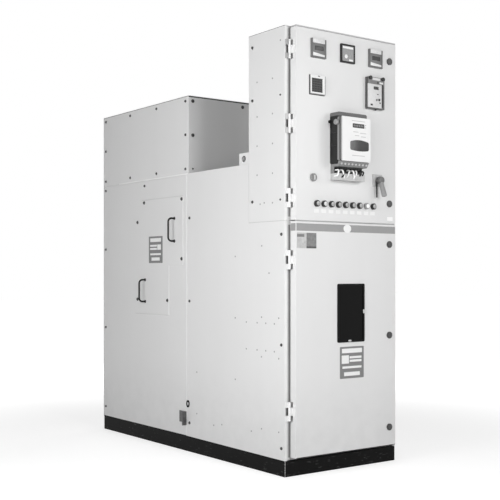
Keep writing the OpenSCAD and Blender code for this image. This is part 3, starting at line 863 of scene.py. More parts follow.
@dataclass(frozen=True)
class Pad:
    """A flat rectangle of an instrument's face."""

    size: Point
    at: Point = (0.0, 0.0)

    @classmethod
    def spanning(cls, x: Point, y: Point) -> "Pad":
        """Returns the rectangle between two x and two y."""
        return cls((x[1] - x[0], y[1] - y[0]), ((x[0] + x[1]) / 2, (y[0] + y[1]) / 2))

    def block(self, start: float, end: float) -> Bench:
        """Starts a block on the rectangle, from one depth to another."""
        return Bench.block(*self.size, start, end, self.at)


@dataclass(frozen=True)
class Dot:
    """A round piece of an instrument's face."""

    radius: float
    at: Point = (0.0, 0.0)
    sides: int = 24

    def disc(self, start: float, end: float) -> Bench:
        """Starts a disc, from one depth to another."""
        return Bench.disc(self.radius, start, end, self.sides, self.at)


@dataclass(frozen=True)
class HexBolt:
    """A hexagon bolt on its washer."""

    head_d: float = 0.0135
    head_h: float = 0.0048
    washer_d: float = 0.0165
    washer_t: float = 0.0012
    well: Point = (0.002, 0.0005)

    def model(self) -> Bench:
        """Models the bolt.

        Returns:
            The bolt on the face's plane.
        """
        washer = Dot(self.washer_d / 2, sides=20).disc(0, self.washer_t).soften(Edge.WASHER)
        head = Dot(self.head_d / 2, sides=6).disc(self.washer_t, self.washer_t + self.head_h)
        return washer.join(head.soften(Edge.HEAD).sink(*self.well))


@dataclass(frozen=True)
class Rivet:
    """A flat rivet."""

    head_d: float = 0.009
    head_h: float = 0.0012
    round_share: float = 0.7

    def model(self) -> Bench:
        """Models the rivet."""
        head = Dot(self.head_d / 2, sides=12).disc(0, self.head_h)
        return head.round_top(self.head_h * self.round_share, 2)


class Fastener(Enum):
    """The kinds of fastener on the cabinet."""

    BOLT = HexBolt()
    LARGE_BOLT = HexBolt(head_d=0.016, washer_d=0.021)
    SCREW = HexBolt(head_d=0.010, head_h=0.003, washer_d=0.011)
    EARTH_BOLT = HexBolt(head_d=0.020, head_h=0.008, washer_d=0.022)
    RIVET = Rivet()

    def drive(self, name: str, finish: Finish, places: Iterable[Matrix]) -> None:
        """Models the fastener once and drives a copy in at each place."""
        self.value.model().spread(places).fit(name, CABINET, finish)


@dataclass
class CoverFasteners:
    """The bolts and rivets of the covers and side sheets.

    A place on a side is its distance behind the front plane and its height.
    """

    edge: float = 0.028
    turn_step: float = 0.4
    tower_bolts: Places = grid((0.271,), (2.185, 1.910, 1.385))
    tower_screws: Places = grid((0.037,), (1.908, 1.384))
    tower_rivets: Places = (*grid((0.101, 0.231), (2.000, 1.822, 1.671, 1.521)), (0.205, 1.370),
                            (0.170, 1.375), (0.101, 1.372), (0.037, 2.181))
    sheet_bolts: Places = (*grid((edge,), (1.210, 0.657, 0.140)), *grid((0.872,), (1.330, 0.857, 0.164)))
    sheet_rivets: Places = (*grid((0.086, 0.157, 0.231, 0.325), (0.760, 0.620)),
                            *grid((0.050, 0.193), (0.790, 0.587, 0.218)),
                            *grid((0.425,), (1.105, 0.778, 0.451)),
                            (0.797, 0.459), (0.797, 0.225), (0.281, 0.194), (0.191, 1.156), (0.130, 1.016),
                            (0.550, 0.194), (0.628, 0.181))
    cover_bolts: Places = (*grid((1.870,), (1.552, 1.170, 0.665, 0.150)), (1.373, 1.548))
    access_bolts: Places = ((0.947, 1.443), (1.373, 1.445), (1.453, 1.329), (0.947, 1.099), (1.453, 0.856),
                            (1.104, 0.856))
    chamber_y: Quad = (1.870, 1.550, 1.232, 0.910)
    chamber_z: Point = (2.000, 1.612)
    chamber_middle_z: float = 1.808
    front_z: Triple = (2.000, 1.805, 1.613)
    rear_z: tuple[float, ...] = (0.120, 0.460, 0.800, 0.866, 1.210, 1.550, 1.612, 2.000)

    def on_both_sides(self, places: Iterable[Point], left: str, right: str) -> list[Matrix]:
        """Returns matrices for places on the left and their mirror images on the right."""
        return [side.on(node, y, z, self.turn_step * number) for number, (y, z) in enumerate(places)
                for side, node in ((Side.LEFT, left), (Side.RIGHT, right))]

    def columns(self, node: str) -> Triple:
        """Returns the x of the columns at the left edge, in the middle and at the right edge of a cover."""
        width = high(node).x - low(node).x
        return self.edge, width / 2, width - self.edge

    def build(self) -> None:
        """Builds the fasteners of every cover."""
        sheets = ("left_side_sheet", "right_side_sheet")
        for name, kind, places, nodes in (
                ("tower_side_bolts", Fastener.BOLT, self.tower_bolts, ("tower_sides",) * 2),
                ("tower_side_screws", Fastener.SCREW, self.tower_screws, ("tower_sides",) * 2),
                ("tower_side_rivets", Fastener.RIVET, self.tower_rivets, ("tower_sides",) * 2),
                ("side_sheet_bolts", Fastener.BOLT, self.sheet_bolts, sheets),
                ("side_sheet_rivets", Fastener.RIVET, self.sheet_rivets, sheets),
                ("side_cover_bolts", Fastener.BOLT, self.cover_bolts, ("rear_side_covers",) * 2)):
            finish = Finishes.RIVET if kind is Fastener.RIVET else Finishes.BOLT
            kind.drive(name, finish, self.on_both_sides(places, *nodes))
        access = [Side.LEFT.on("access_cover", y, z, y) for y, z in self.access_bolts]
        Fastener.LARGE_BOLT.drive("access_cover_bolts", Finishes.STEEL, access)
        self.build_chamber()
        rear = [Side.REAR.on("rear_covers", x, z, x + z)
                for x, z in grid(self.columns("rear_covers"), self.rear_z)]
        Fastener.BOLT.drive("rear_cover_bolts", Finishes.BOLT, rear)

    def build_chamber(self) -> None:
        """Bolts and screws of the busbar chamber's side, front and top covers."""
        node = "chamber_front_cover"
        columns = self.columns(node)
        ends = columns[::2]
        upper, centre, lower = self.front_z
        bolts = grid(columns, (upper,)) + grid(ends, (centre,))
        Fastener.LARGE_BOLT.drive("chamber_front_bolts", Finishes.STEEL,
                                  [Side.FRONT.on(node, x, z, x) for x, z in bolts])
        Fastener.SCREW.drive("chamber_front_screws", Finishes.BOLT,
                             [Side.FRONT.on(node, x, lower, x) for x in ends])
        places = grid(self.chamber_y, self.chamber_z) + grid(self.chamber_y[::3], (self.chamber_middle_z,))
        stood = self.on_both_sides(places, "chamber_side_covers", "chamber_side_covers")
        stood += [Side.TOP.on("chamber_top_cover", x, y, y) for x, y in grid(ends, self.chamber_y)]
        Fastener.BOLT.drive("chamber_bolts", Finishes.BOLT, stood)


@dataclass
class BarPlate:
    """A plate that holds plain bars in place of print.

    Attributes:
        bars: For each bar, its centre as a share of the half width and half height, and its size as shares.
    """

    name: str
    body: str
    side: Side
    centre: Vector
    size: Point
    ground: Finish
    ink: Finish
    bars: Sequence[Quad]
    thick: float = 0.0012
    radius: float = 0.004
    bar_t: float = 0.0003

    def build(self) -> None:
        """Builds the plate and its bars."""
        width, height = self.size
        plate = Bench.block(width, height, 0, self.thick).round_corners(self.radius).soften(Edge.SHEET)
        plate.stand(self.side, self.centre).fit(self.name, self.body, self.ground)
        pads = [Pad((w * width, h * height), (x * width / 2, y * height / 2)) for x, y, w, h in self.bars]
        bars = [pad.block(self.thick, self.thick + self.bar_t).soften(Edge.PRINT) for pad in pads]
        Bench.joined(bars).stand(self.side, self.centre).fit(f"{self.name}_bars", self.body, self.ink)


@dataclass
class JointLines:
    """Thin lines where covers meet: painted seams and black foot lines, with dark lines of painted shade and white
    lines of painted highlight.

    Attributes:
        proud: How far a line stands out of its sheet.
        fold_highlight_share: The part of the chamber's length that the fold's painted highlight runs along.
        low_cut: Length of the step in the access cover's lower edge.
        high_cut: Length of the step in the access cover's upper edge.
    """

    proud: float = 0.0005
    top_shade_h: float = 0.0055
    line_h: float = 0.0025
    seam: float = 0.002
    fold_highlight_h: float = 0.006
    fold_highlight_share: float = 0.8
    foot_h: float = 0.010
    sheet_foot_h: float = 0.007
    edge_w: float = 0.008
    low_cut: float = 0.153
    high_cut: float = 0.080

    def line(self, side: Side, at: Vector, length: float, height: float, fall: float = 0.0) -> Bench:
        """Models one line.

        Args:
            side: The face that it lies on.
            at: Its middle.
            length: Its length.
            height: Its height.
            fall: How far its upper edge falls towards the front, for a line on the left or right.

        Returns:
            The line in its place.
        """
        piece = Bench.block(length, height, 0, self.proud)
        if fall:
            front = length / 2 if side is Side.LEFT else -length / 2
            piece.shift(lambda e: all(abs(v.co.x - front) < NEAR and v.co.y > 0 for v in e.verts),
                        (0, -fall, 0))
        return piece.round_top(self.proud / 3, 1).stand(side, at)

    def on_sides(self, node: str, ends: Point, z: float, height: float) -> Bench:
        """Models a line on both sides of a node, between two y and with its middle at z."""
        y, length = (ends[0] + ends[1]) / 2, ends[1] - ends[0]
        return Bench.joined([self.line(side, Vector((side.level(node), y, z)), length, height)
                             for side in (Side.LEFT, Side.RIGHT)])

    def build(self) -> None:
        """Builds the lines."""
        self.build_chamber()
        self.build_top_lines()
        self.build_seams()
        self.build_foot()

    def build_chamber(self) -> None:
        """A dark line of painted shade along the top of the chamber's front, and white lines of painted highlight
        along the folds under its sides.
        """
        # A black strip along the top of the chamber's front: painted shade under the top cover's eave.
        at = Side.FRONT.centre("chamber_front_cover")
        at.z = high("chamber_front_cover").z - self.top_shade_h / 2
        width = high("chamber_front_cover").x - low("chamber_front_cover").x
        self.line(Side.FRONT, at, width, self.top_shade_h).fit("chamber_front_shade_line", CABINET, Finishes.RUBBER)
        # White lines along the folds under the chamber's sides: painted highlight.
        start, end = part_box("chamber_side_covers")
        ends = (start.y, start.y + self.fold_highlight_share * (end.y - start.y))
        fold = self.on_sides("chamber_side_covers", ends, start.z + self.fold_highlight_h / 2, self.fold_highlight_h)
        fold.fit("chamber_fold_highlights", CABINET, Finishes.TAG)

    def build_top_lines(self) -> None:
        """Dark lines of painted shade under the top edges of the chamber's and the tower's sides."""
        lines = [self.on_sides(node, (low(node).y, high(node).y), high(node).z - self.line_h / 2, self.line_h)
                 for node in ("chamber_side_covers", "tower_sides")]
        Bench.joined(lines).fit("cover_top_shade_lines", CABINET, Finishes.SHADE)

    def build_seams(self) -> None:
        """The painted seams under the tower and at the rear edges, and lines of painted shadow along the access
        cover's lower and upper edges.
        """
        start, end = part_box("tower_sides")
        seams = [self.on_sides("tower_sides", (start.y, end.y), start.z - self.seam / 2,
                               self.seam + 2 * self.proud)]
        start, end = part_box("access_cover")
        face = low("rear_side_covers").x
        # The two lines along the access cover's lower and upper edges are painted shadow.
        for y0, y1, z in ((start.y + self.low_cut, end.y, start.z - self.line_h / 2),
                          (start.y, end.y - self.high_cut, end.z + self.line_h / 2)):
            seams.append(self.line(Side.LEFT, Vector((face, (y0 + y1) / 2, z)), y1 - y0, self.line_h))
        for node in ("rear_side_covers", "chamber_side_covers"):
            start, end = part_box(node)
            seams.append(self.on_sides(node, (end.y - self.edge_w, end.y), middle(node).z, end.z - start.z))
        Bench.joined(seams).fit("painted_seam_and_shadow_lines", CABINET, Finishes.SEAM)

    def build_foot(self) -> None:
        """The black lines along the foot of the sides, on the sheets, on the covers and in their gap."""
        cover, cover_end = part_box("rear_side_covers")
        start = low("left_side_sheet")
        fall = self.sheet_foot_h - self.proud
        made = []
        for side, sheet in ((Side.LEFT, "left_side_sheet"), (Side.RIGHT, "right_side_sheet")):
            sheet_x, cover_x = side.level(sheet), side.level("rear_side_covers")
            for x, y0, y1, z0, z1, drop in (
                    (sheet_x, start.y, cover.y, start.z, start.z + self.sheet_foot_h, fall),
                    (sheet_x, cover.y, cover_end.y, start.z, cover.z, 0),
                    (cover_x, cover.y, cover_end.y, cover.z, start.z + self.foot_h, 0)):
                at = Vector((x, (y0 + y1) / 2, (z0 + z1) / 2))
                made.append(self.line(side, at, y1 - y0, z1 - z0, drop))
        Bench.joined(made).fit("side_foot_lines", CABINET, Finishes.BASE)


@dataclass
class RoofLip:
    """The thin lip of the tower's roof over the instrument door."""

    gap: float = 0.002
    radius: float = 0.002

    def build(self) -> None:
        """Builds the lip, which stays on the cabinet when the door opens."""
        start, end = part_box(UPPER_DOOR)
        depth = low("tower_top").y - start.y
        foot = end.z + self.gap
        lip = Bench.block(end.x - start.x, depth, 0, high("tower_top").z - foot).round_corners(self.radius)
        at = Vector(((start.x + end.x) / 2, start.y + depth / 2, foot))
        lip.soften(Edge.ROUND).stand(Side.TOP, at).fit("roof_lip", CABINET, Finishes.SEAM)


@dataclass
class CabinetDetails:
    """Small pieces on the cabinet: the label plate, the grommet, the earth bolt and the lifting holes' rings.

    Attributes:
        grommet_hole: The share of the grommet's size that is open.
    """

    label_at: Point = (1.2365, 1.157)
    label_size: Point = (0.158, 0.160)
    label_bars: tuple[Quad, ...] = (
        (0, 0.72, 0.78, 0.14), (-0.3, 0.3, 0.5, 0.07), (-0.3, 0.06, 0.5, 0.07), (0.52, 0.18, 0.26, 0.2),
        (0, -0.34, 0.78, 0.07), (0, -0.7, 0.6, 0.12))
    grommet_at: Point = (0.8875, 0.271)
    grommet_size: Point = (0.032, 0.042)
    grommet_hole: float = 0.52
    grommet_t: float = 0.004
    ring_w: float = 0.0035
    ring_t: float = 0.0012

    def build(self) -> None:
        """Builds the pieces."""
        at = Side.LEFT.point("access_cover", *self.label_at)
        BarPlate("access_label", CABINET, Side.LEFT, at, self.label_size, Finishes.SHADE, Finishes.PRINT,
                 self.label_bars).build()
        ring = Bench.ring(self.grommet_hole / 2, 0.5, self.grommet_t).squeeze(*self.grommet_size)
        at = Side.LEFT.point("left_side_sheet", *self.grommet_at)
        ring.soften(Edge.SOFT).stand(Side.LEFT, at).fit("side_grommet", CABINET, Finishes.RUBBER)
        hole = mount("earth_bolt_hole")["pos_m"]
        at = Vector((hole[0], low("earth_terminal").y, hole[2]))
        Fastener.EARTH_BOLT.drive("earth_bolt", Finishes.BOLT, [Side.FRONT.stand(at)])
        self.build_lifting_rings()

    def build_lifting_rings(self) -> None:
        """A dark ring round each lifting hole."""
        made = []
        for name, side in (("left_lifting_hole", Side.LEFT), ("right_lifting_hole", Side.RIGHT)):
            hole = mount(name)
            radius = hole["dims"]["r_mm"] / 1000
            ring = Bench.ring(radius, radius + self.ring_w, self.ring_t).soften(Edge.WASHER)
            at = Vector((side.level("lifting_lugs"), *hole["pos_m"][1:]))
            made.append(ring.stand(side, at))
        Bench.joined(made).fit("lifting_hole_rings", CABINET, Finishes.RUBBER)


@dataclass
class BreakerDoorDetails:
    """What the lower door carries: the grey band, a blank disc, two generic plates and the window's clips.

    Attributes:
        fold: Bare width at the door's folds, where the band stops.
        clips: Place, width and height of each window clip.
    """

    band_z: Point = (1.227, 1.2645)
    band_t: float = 0.0005
    fold: float = 0.003
    band_back: float = 0.004
    disc_at: Point = (0.377, 1.245)
    disc_size: Point = (0.052, 0.042)
    disc_t: float = 0.0025
    disc_well: Point = (0.004, 0.0004)
    sticker_x: Point = (0.041, 0.169)
    sticker_z: Point = (1.140, 1.218)
    sticker_bars: tuple[Quad, ...] = ((0.477, 0.0, 0.5, 0.99), (-0.61, 0.63, 0.36, 0.18))
    strip_h: float = 0.0095
    plate_x: Point = (0.326, 0.492)
    plate_z: Point = (0.472, 0.636)
    plate_bars: tuple[Quad, ...] = (
        (0, 0.74, 0.84, 0.14), (-0.56, 0.2, 0.3, 0.26), (0.3, 0.32, 0.5, 0.07), (0.3, 0.1, 0.5, 0.07),
        (0, -0.3, 0.8, 0.07), (0, -0.72, 0.66, 0.12))
    clips: tuple[Quad, ...] = ((0.490, 0.8165, 0.012, 0.020), (0.3905, 0.667, 0.018, 0.009))
    clip_t: float = 0.004
    clip_radius: float = 0.003
    foot_h: float = 0.0035

    def build(self) -> None:
        """Builds the pieces."""
        self.build_band()
        self.build_disc()
        self.build_plates()
        self.build_clips()
        self.build_foot()

    def strip(self, width: float, height: float) -> Bench:
        """Models a thin strip."""
        return Bench.block(width, height, 0, self.band_t).round_top(self.band_t / 3, 1)

    def build_band(self) -> None:
        """A thin band across the face and both edges of the door, bare at the folds."""
        start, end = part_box(LOWER_DOOR)
        height = self.band_z[1] - self.band_z[0]
        depth = end.y - start.y - self.band_back - self.fold
        centre = Side.FRONT.centre(LOWER_DOOR)
        centre.z = CORNER.z + sum(self.band_z) / 2
        front = self.strip(end.x - start.x - 2 * self.fold, height).stand(Side.FRONT, centre)
        y = start.y + self.fold + depth / 2
        edges = self.strip(depth, height).spread(
            [side.stand(Vector((side.level(LOWER_DOOR), y, centre.z))) for side in (Side.LEFT, Side.RIGHT)])
        front.join(edges).fit("door_band", LOWER_DOOR, Finishes.BAND)

    def build_disc(self) -> None:
        """A blank oval disc on the band."""
        disc = Dot(0.5, sides=40).disc(self.band_t, self.disc_t).squeeze(*self.disc_size)
        disc.soften(Edge.MOULDED).sink(*self.disc_well)
        at = Side.FRONT.point(LOWER_DOOR, *self.disc_at)
        disc.stand(Side.FRONT, at).fit("band_disc", LOWER_DOOR, Finishes.PRINT)

    def build_plates(self) -> None:
        """A clouded two-tone plate near the top hinge and a grey plate with plain bars under the window."""
        foot = CORNER.z + self.sticker_z[0]
        ink = Zoned("clouded_dark_print", "grey_plastic", 0.19, 0.5, mottle=0.4, mottle_scale=90,
                    zones=((0.06, ALL, ALL, (foot, foot + self.strip_h)),))
        for name, x, z, ground, bar_finish, bars, trim in (
                ("two_tone_plate", self.sticker_x, self.sticker_z, Finishes.CLOUDED, ink, self.sticker_bars,
                 {"thick": 0.0005, "radius": 0.002}),
                ("bar_plate", self.plate_x, self.plate_z, Finishes.SHADE, Finishes.PRINT, self.plate_bars,
                 {})):
            pad = Pad.spanning(x, z)
            at = Side.FRONT.point(LOWER_DOOR, *pad.at)
            BarPlate(name, LOWER_DOOR, Side.FRONT, at, pad.size, ground, bar_finish, bars, **trim).build()

    def build_clips(self) -> None:
        """Small clips on the window's rubber frame."""
        made = []
        for x, z, width, height in self.clips:
            clip = Bench.block(width, height, 0, self.clip_t).round_corners(self.clip_radius)
            made.append(clip.soften(Edge.SOFT).stand(Side.FRONT, Side.FRONT.point("window_frame", x, z)))
        Bench.joined(made).fit("window_clips", LOWER_DOOR, Finishes.CLIP)

    def build_foot(self) -> None:
        """A thin black strip in the rubber finish along the foot of the door's face: painted shade for the dark
        gap under the door.
        """
        start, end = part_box(LOWER_DOOR)
        at = Side.FRONT.centre(LOWER_DOOR)
        at.z = start.z + self.foot_h / 2
        # Black strip at the door's foot: painted shade.
        strip = self.strip(end.x - start.x - 2 * self.fold, self.foot_h)
        strip.stand(Side.FRONT, at).fit("door_foot_shade_strip", LOWER_DOOR, Finishes.RUBBER)


class InstrumentFace:
    """What an instrument shows. A subclass has its name and the point that its pieces are measured from."""

    name: str
    centre: Vector

    def put(self, piece: Bench, label: str, finish: Finish) -> None:
        """Stands a modelled piece on the instrument's front."""
        piece.stand(Side.FRONT, self.centre).fit(f"{self.name}_{label}", UPPER_DOOR, finish)


class MeterKind(Enum):
    """What a square meter shows."""

    DIGITAL = "digital"
    DIAL = "dial"


@dataclass
class SquareMeter(InstrumentFace):
    """The face of one square meter.

    Attributes:
        header: A digital meter's header: how much it is narrower than the face, its height and its drop.
        field: The height of the dark field and the rise of its centre.
        foot: The foot: how much it is narrower than the face, its height and its rise.
        title: A dial's header: how much it is narrower than the face, its height and its drop.
        tab_at: The tab's centre from the dial's middle, and its rise above the face's foot.
    """

    name: str
    centre: Vector
    kind: MeterKind
    width: float
    edge: float = 0.008
    sink: float = 0.003
    header: Triple = (0.002, 0.022, 0.003)
    field: Point = (0.053, -0.002)
    field_back: float = 0.0012
    display: Pad = Pad((0.056, 0.021), (0.002, 0.001))
    display_well: Point = (0.0016, 0.0008)
    proud: float = 0.0006
    foot: Triple = (0.004, 0.018, 0.010)
    foot_out: float = 0.0004
    foot_slant: float = 0.009
    dial_gap: float = 0.001
    dial_back: float = 0.002
    title: Triple = (0.008, 0.011, 0.009)
    mark_back: float = 0.0012
    spot: Dot = Dot(0.010, (-0.012, -0.015), 32)
    spot_back: float = 0.0006
    tab: Point = (0.026, 0.009)
    tab_at: Point = (0.021, 0.008)

    @property
    def inner(self) -> float:
        """The width of the face inside the bezel's border."""
        return self.width - 2 * self.edge

    def build(self) -> None:
        """Builds the face."""
        if self.kind is MeterKind.DIGITAL:
            self.build_digital()
        else:
            self.build_dial()

    def build_digital(self) -> None:
        """A pale header, a dark field with a display and a pale slanted foot."""
        half = self.inner / 2
        less, height, drop = self.header
        header = Bench.block(self.inner - less, height, -self.sink, self.proud, (0, half - drop))
        self.put(header.soften(Edge.BUTTON), "header", Finishes.HEADER)
        height, rise = self.field
        field = Bench.block(self.inner, height, -self.sink, -self.field_back, (0, rise))
        self.put(field.soften(Edge.FIELD), "field", Finishes.GREY)
        display = self.display.block(-self.field_back, self.proud).soften(Edge.SCREEN)
        self.put(display.sink(*self.display_well), "display", Finishes.DISPLAY)
        less, height, rise = self.foot
        centre = rise - half
        foot = Bench.block(self.inner - less, height, -self.sink, self.foot_out, (0, centre))
        foot.shift(lambda e: all(v.co.x > 0 and v.co.y > centre for v in e.verts), (0, -self.foot_slant, 0))
        self.put(foot.soften(Edge.BUTTON), "foot", Finishes.PRINT)

    def build_dial(self) -> None:
        """A grey dial with a pale header, a round pale spot and a small pale tab."""
        half = self.inner / 2
        side = self.inner - self.dial_gap
        dial = Bench.block(side, side, -self.sink, -self.dial_back).soften(Edge.SHEET)
        self.put(dial, "dial", Finishes.DIAL)
        less, height, drop = self.title
        header = Pad((self.inner - less, height), (0, half - drop)).block(-self.dial_back, -self.mark_back)
        self.put(header.soften(Edge.SHEET), "header", Finishes.PRINT)
        spot = self.spot.disc(-self.dial_back, -self.spot_back).soften(Edge.BUTTON)
        tab = Pad(self.tab, (self.tab_at[0], self.tab_at[1] - half)).block(-self.dial_back, -self.mark_back)
        self.put(spot.join(tab.soften(Edge.SHEET)), "marks", Finishes.PRINT)


@dataclass
class AnnunciatorFace(InstrumentFace):
    """The alarm annunciator's dark tiles, a black gasket round its frame that is painted shadow, and a small mark
    on its frame.

    Attributes:
        lip: How far the gasket's painted shadow shows round the frame.
        mark_at: The mark's place right of the frame's middle and below its top.
        edge: The width of the painted shade along the frame's right and lower edge.
    """

    grid_size: tuple[int, int] = (4, 6)
    area: Point = (0.069, 0.069)
    rib: float = 0.002
    tile_gap: float = 0.0006
    tile_back: float = 0.0009
    shift: Point = (-0.007, -0.002)
    sink: float = 0.003
    button_out: float = 0.0025
    lip: float = 0.002
    gasket_t: float = 0.002
    mark: Triple = (0.014, 0.004, 0.0006)
    mark_at: Point = (0.004, 0.004)
    white: float = 0.8
    dark: float = 0.05
    lap: float = 0.0005
    edge: float = 0.004
    edge_shade_tone: float = 0.25
    side_tone: float = 0.12
    side_back: float = 0.003
    name = "annunciator"

    @property
    def centre(self) -> Vector:
        """The middle of the frame's front."""
        return Side.FRONT.centre("annunciator") + Vector((0, self.button_out, 0))

    def finish(self) -> Zoned:
        """Makes the moulding's finish.

        Returns:
            White, with a dark window, painted shade along the right and lower edge, and dark sides.
        """
        at = self.centre
        window = [(at[axis] + shift - area / 2 - self.lap, at[axis] + shift + area / 2 + self.lap)
                  for axis, shift, area in zip((0, 2), self.shift, self.area)]
        # The darker right and lower edge is painted shade.
        right = (high("annunciator").x - self.edge, ALL[1])
        foot = (ALL[0], low("annunciator").z + self.edge)
        sides = (at.y + self.side_back, ALL[1])
        return Zoned("annunciator_moulding", "white_plastic", self.white, 0.4, zones=(
            (self.dark, window[0], ALL, window[1]), (self.edge_shade_tone, right, ALL, ALL),
            (self.edge_shade_tone, ALL, ALL, foot), (self.side_tone, ALL, sides, ALL)))

    def build(self) -> None:
        """Builds the tiles, the gasket of painted shadow and the mark."""
        centre = self.centre
        pitch = [(area + self.rib) / count for area, count in zip(self.area, self.grid_size)]
        size = [step - self.rib - self.tile_gap for step in pitch]
        tile = Bench.block(*size, -self.sink, -self.tile_back).soften(Edge.BUTTON)
        across, up = ([shift + (k - (count - 1) / 2) * step for k in range(count)]
                      for shift, count, step in zip(self.shift, self.grid_size, pitch))
        places = [Side.FRONT.stand(centre + Vector((x, 0, z))) for x, z in grid(across, up)]
        tile.spread(places).fit("annunciator_tiles", UPPER_DOOR, Finishes.DARK)
        # A black plate a little larger than the frame, whose rim stands for the frame's shadow: painted shadow.
        frame_size = high("annunciator") - low("annunciator")
        width, height = (side + 2 * self.lip for side in (frame_size.x, frame_size.z))
        gasket = Bench.block(width, height, 0, self.gasket_t).soften(Edge.BUTTON)
        at = Vector((centre.x, low(UPPER_DOOR).y, centre.z))
        gasket.stand(Side.FRONT, at).fit("annunciator_shadow_gasket", UPPER_DOOR, Finishes.RUBBER)
        width, height, thick = self.mark
        mark = Bench.block(width, height, 0, thick, (self.mark_at[0], frame_size.z / 2 - self.mark_at[1]))
        self.put(mark.soften(Edge.LABEL), "mark", Finishes.DARK)


@dataclass
class RelayFace(InstrumentFace):
    """The front of the protection relay: header strips, a pale face, a display and push buttons.

    Attributes:
        tones: The greys of the moulding, of its right border and of the thumb nuts.
    """

    height: float = 0.166
    sink: float = 0.006
    nut_out: float = 0.009
    face_x: Point = (-0.0565, 0.0390)
    face_y: Point = (-0.077, 0.047)
    face_out: float = 0.0008
    rim_w: float = 0.005
    strips: tuple[Pad, ...] = (Pad((0.026, 0.010), (0.036, 0.0555)), Pad((0.056, 0.013), (0, 0.0735)))
    strip_t: float = 0.0006
    header: Pad = Pad((0.114, 0.034), (0, 0.065))
    display: Pad = Pad((0.034, 0.016), (-0.002, 0.026))
    display_t: float = 0.0018
    display_well: Point = (0.0015, 0.0008)
    label: Pad = Pad((0.016, 0.009), (-0.034, -0.063))
    label_t: float = 0.0004
    title: Pad = Pad((0.050, 0.010), (-0.019, 0.0555))
    title_end: Pad = Pad((0.010, 0.010), (0.011, 0.0555))
    dots: tuple[Dot, ...] = (Dot(0.003, (0.010, -0.006)), Dot(0.0065, (0.020, -0.034)),
                             Dot(0.004, (0.026, -0.050)))
    dot_t: float = 0.0025
    button: Dot = Dot(0.006, (0.002, -0.036))
    button_t: float = 0.003
    tab: Dot = Dot(0.0065, (0.004, -height / 2))
    tab_span: Point = (-0.012, -0.002)
    tab_well: Point = (0.002, 0.001)
    tones: Triple = (0.085, 0.11, 0.02)
    nut_gap: float = 0.001
    name = "relay"

    @property
    def centre(self) -> Vector:
        """The middle of the frame's front."""
        start = low("protection_relay")
        return Vector((middle("protection_relay").x, start.y + self.nut_out, start.z + self.height / 2))

    def finish(self) -> Zoned:
        """Makes the moulding's finish.

        Returns:
            Dark, greyer along its right border and black on the thumb nuts.
        """
        plain, border, nuts = self.tones
        right = (self.centre.x + self.face_x[1], ALL[1])
        ahead = (ALL[0], self.centre.y - self.nut_gap)
        return Zoned("relay_moulding", "dark_plastic", plain, 0.42, mottle=0.25, mottle_scale=40, shine=0.3,
                     zones=((border, right, ALL, ALL), (nuts, ALL, ahead, ALL)))

    def build(self) -> None:
        """Builds the pieces."""
        out = self.face_out
        strip_end = out + self.strip_t
        face = Pad.spanning(self.face_x, self.face_y).block(-self.sink, out).soften(Edge.MOULDED)
        rim = Pad.spanning((self.face_x[0] - self.rim_w, self.face_x[0]), self.face_y).block(0, out)
        strips = [strip.block(out, strip_end).soften(Edge.SHEET) for strip in self.strips]
        self.put(face.join(rim.soften(Edge.SHEET), *strips), "face", Finishes.SHEET)
        self.put(self.header.block(-self.sink, out).soften(Edge.MOULDED), "header", Finishes.SHADE)
        display = self.display.block(out, out + self.display_t).soften(Edge.SCREEN)
        display.sink(*self.display_well)
        label = self.label.block(out, out + self.label_t).soften(Edge.LABEL)
        title, title_end = (pad.block(out, strip_end).soften(Edge.SHEET)
                            for pad in (self.title, self.title_end))
        dots = [dot.disc(out, out + self.dot_t).soften(Edge.BUTTON) for dot in self.dots]
        self.put(display.join(label, title_end, *dots), "display", Finishes.DISPLAY)
        button = self.button.disc(out, out + self.button_t).soften(Edge.MOULDED)
        self.put(button.join(title), "button", Finishes.GREY)
        tab = self.tab.disc(*self.tab_span).soften(Edge.SOFT).sink(*self.tab_well)
        self.put(tab, "lower_tab", Finishes.DARK)


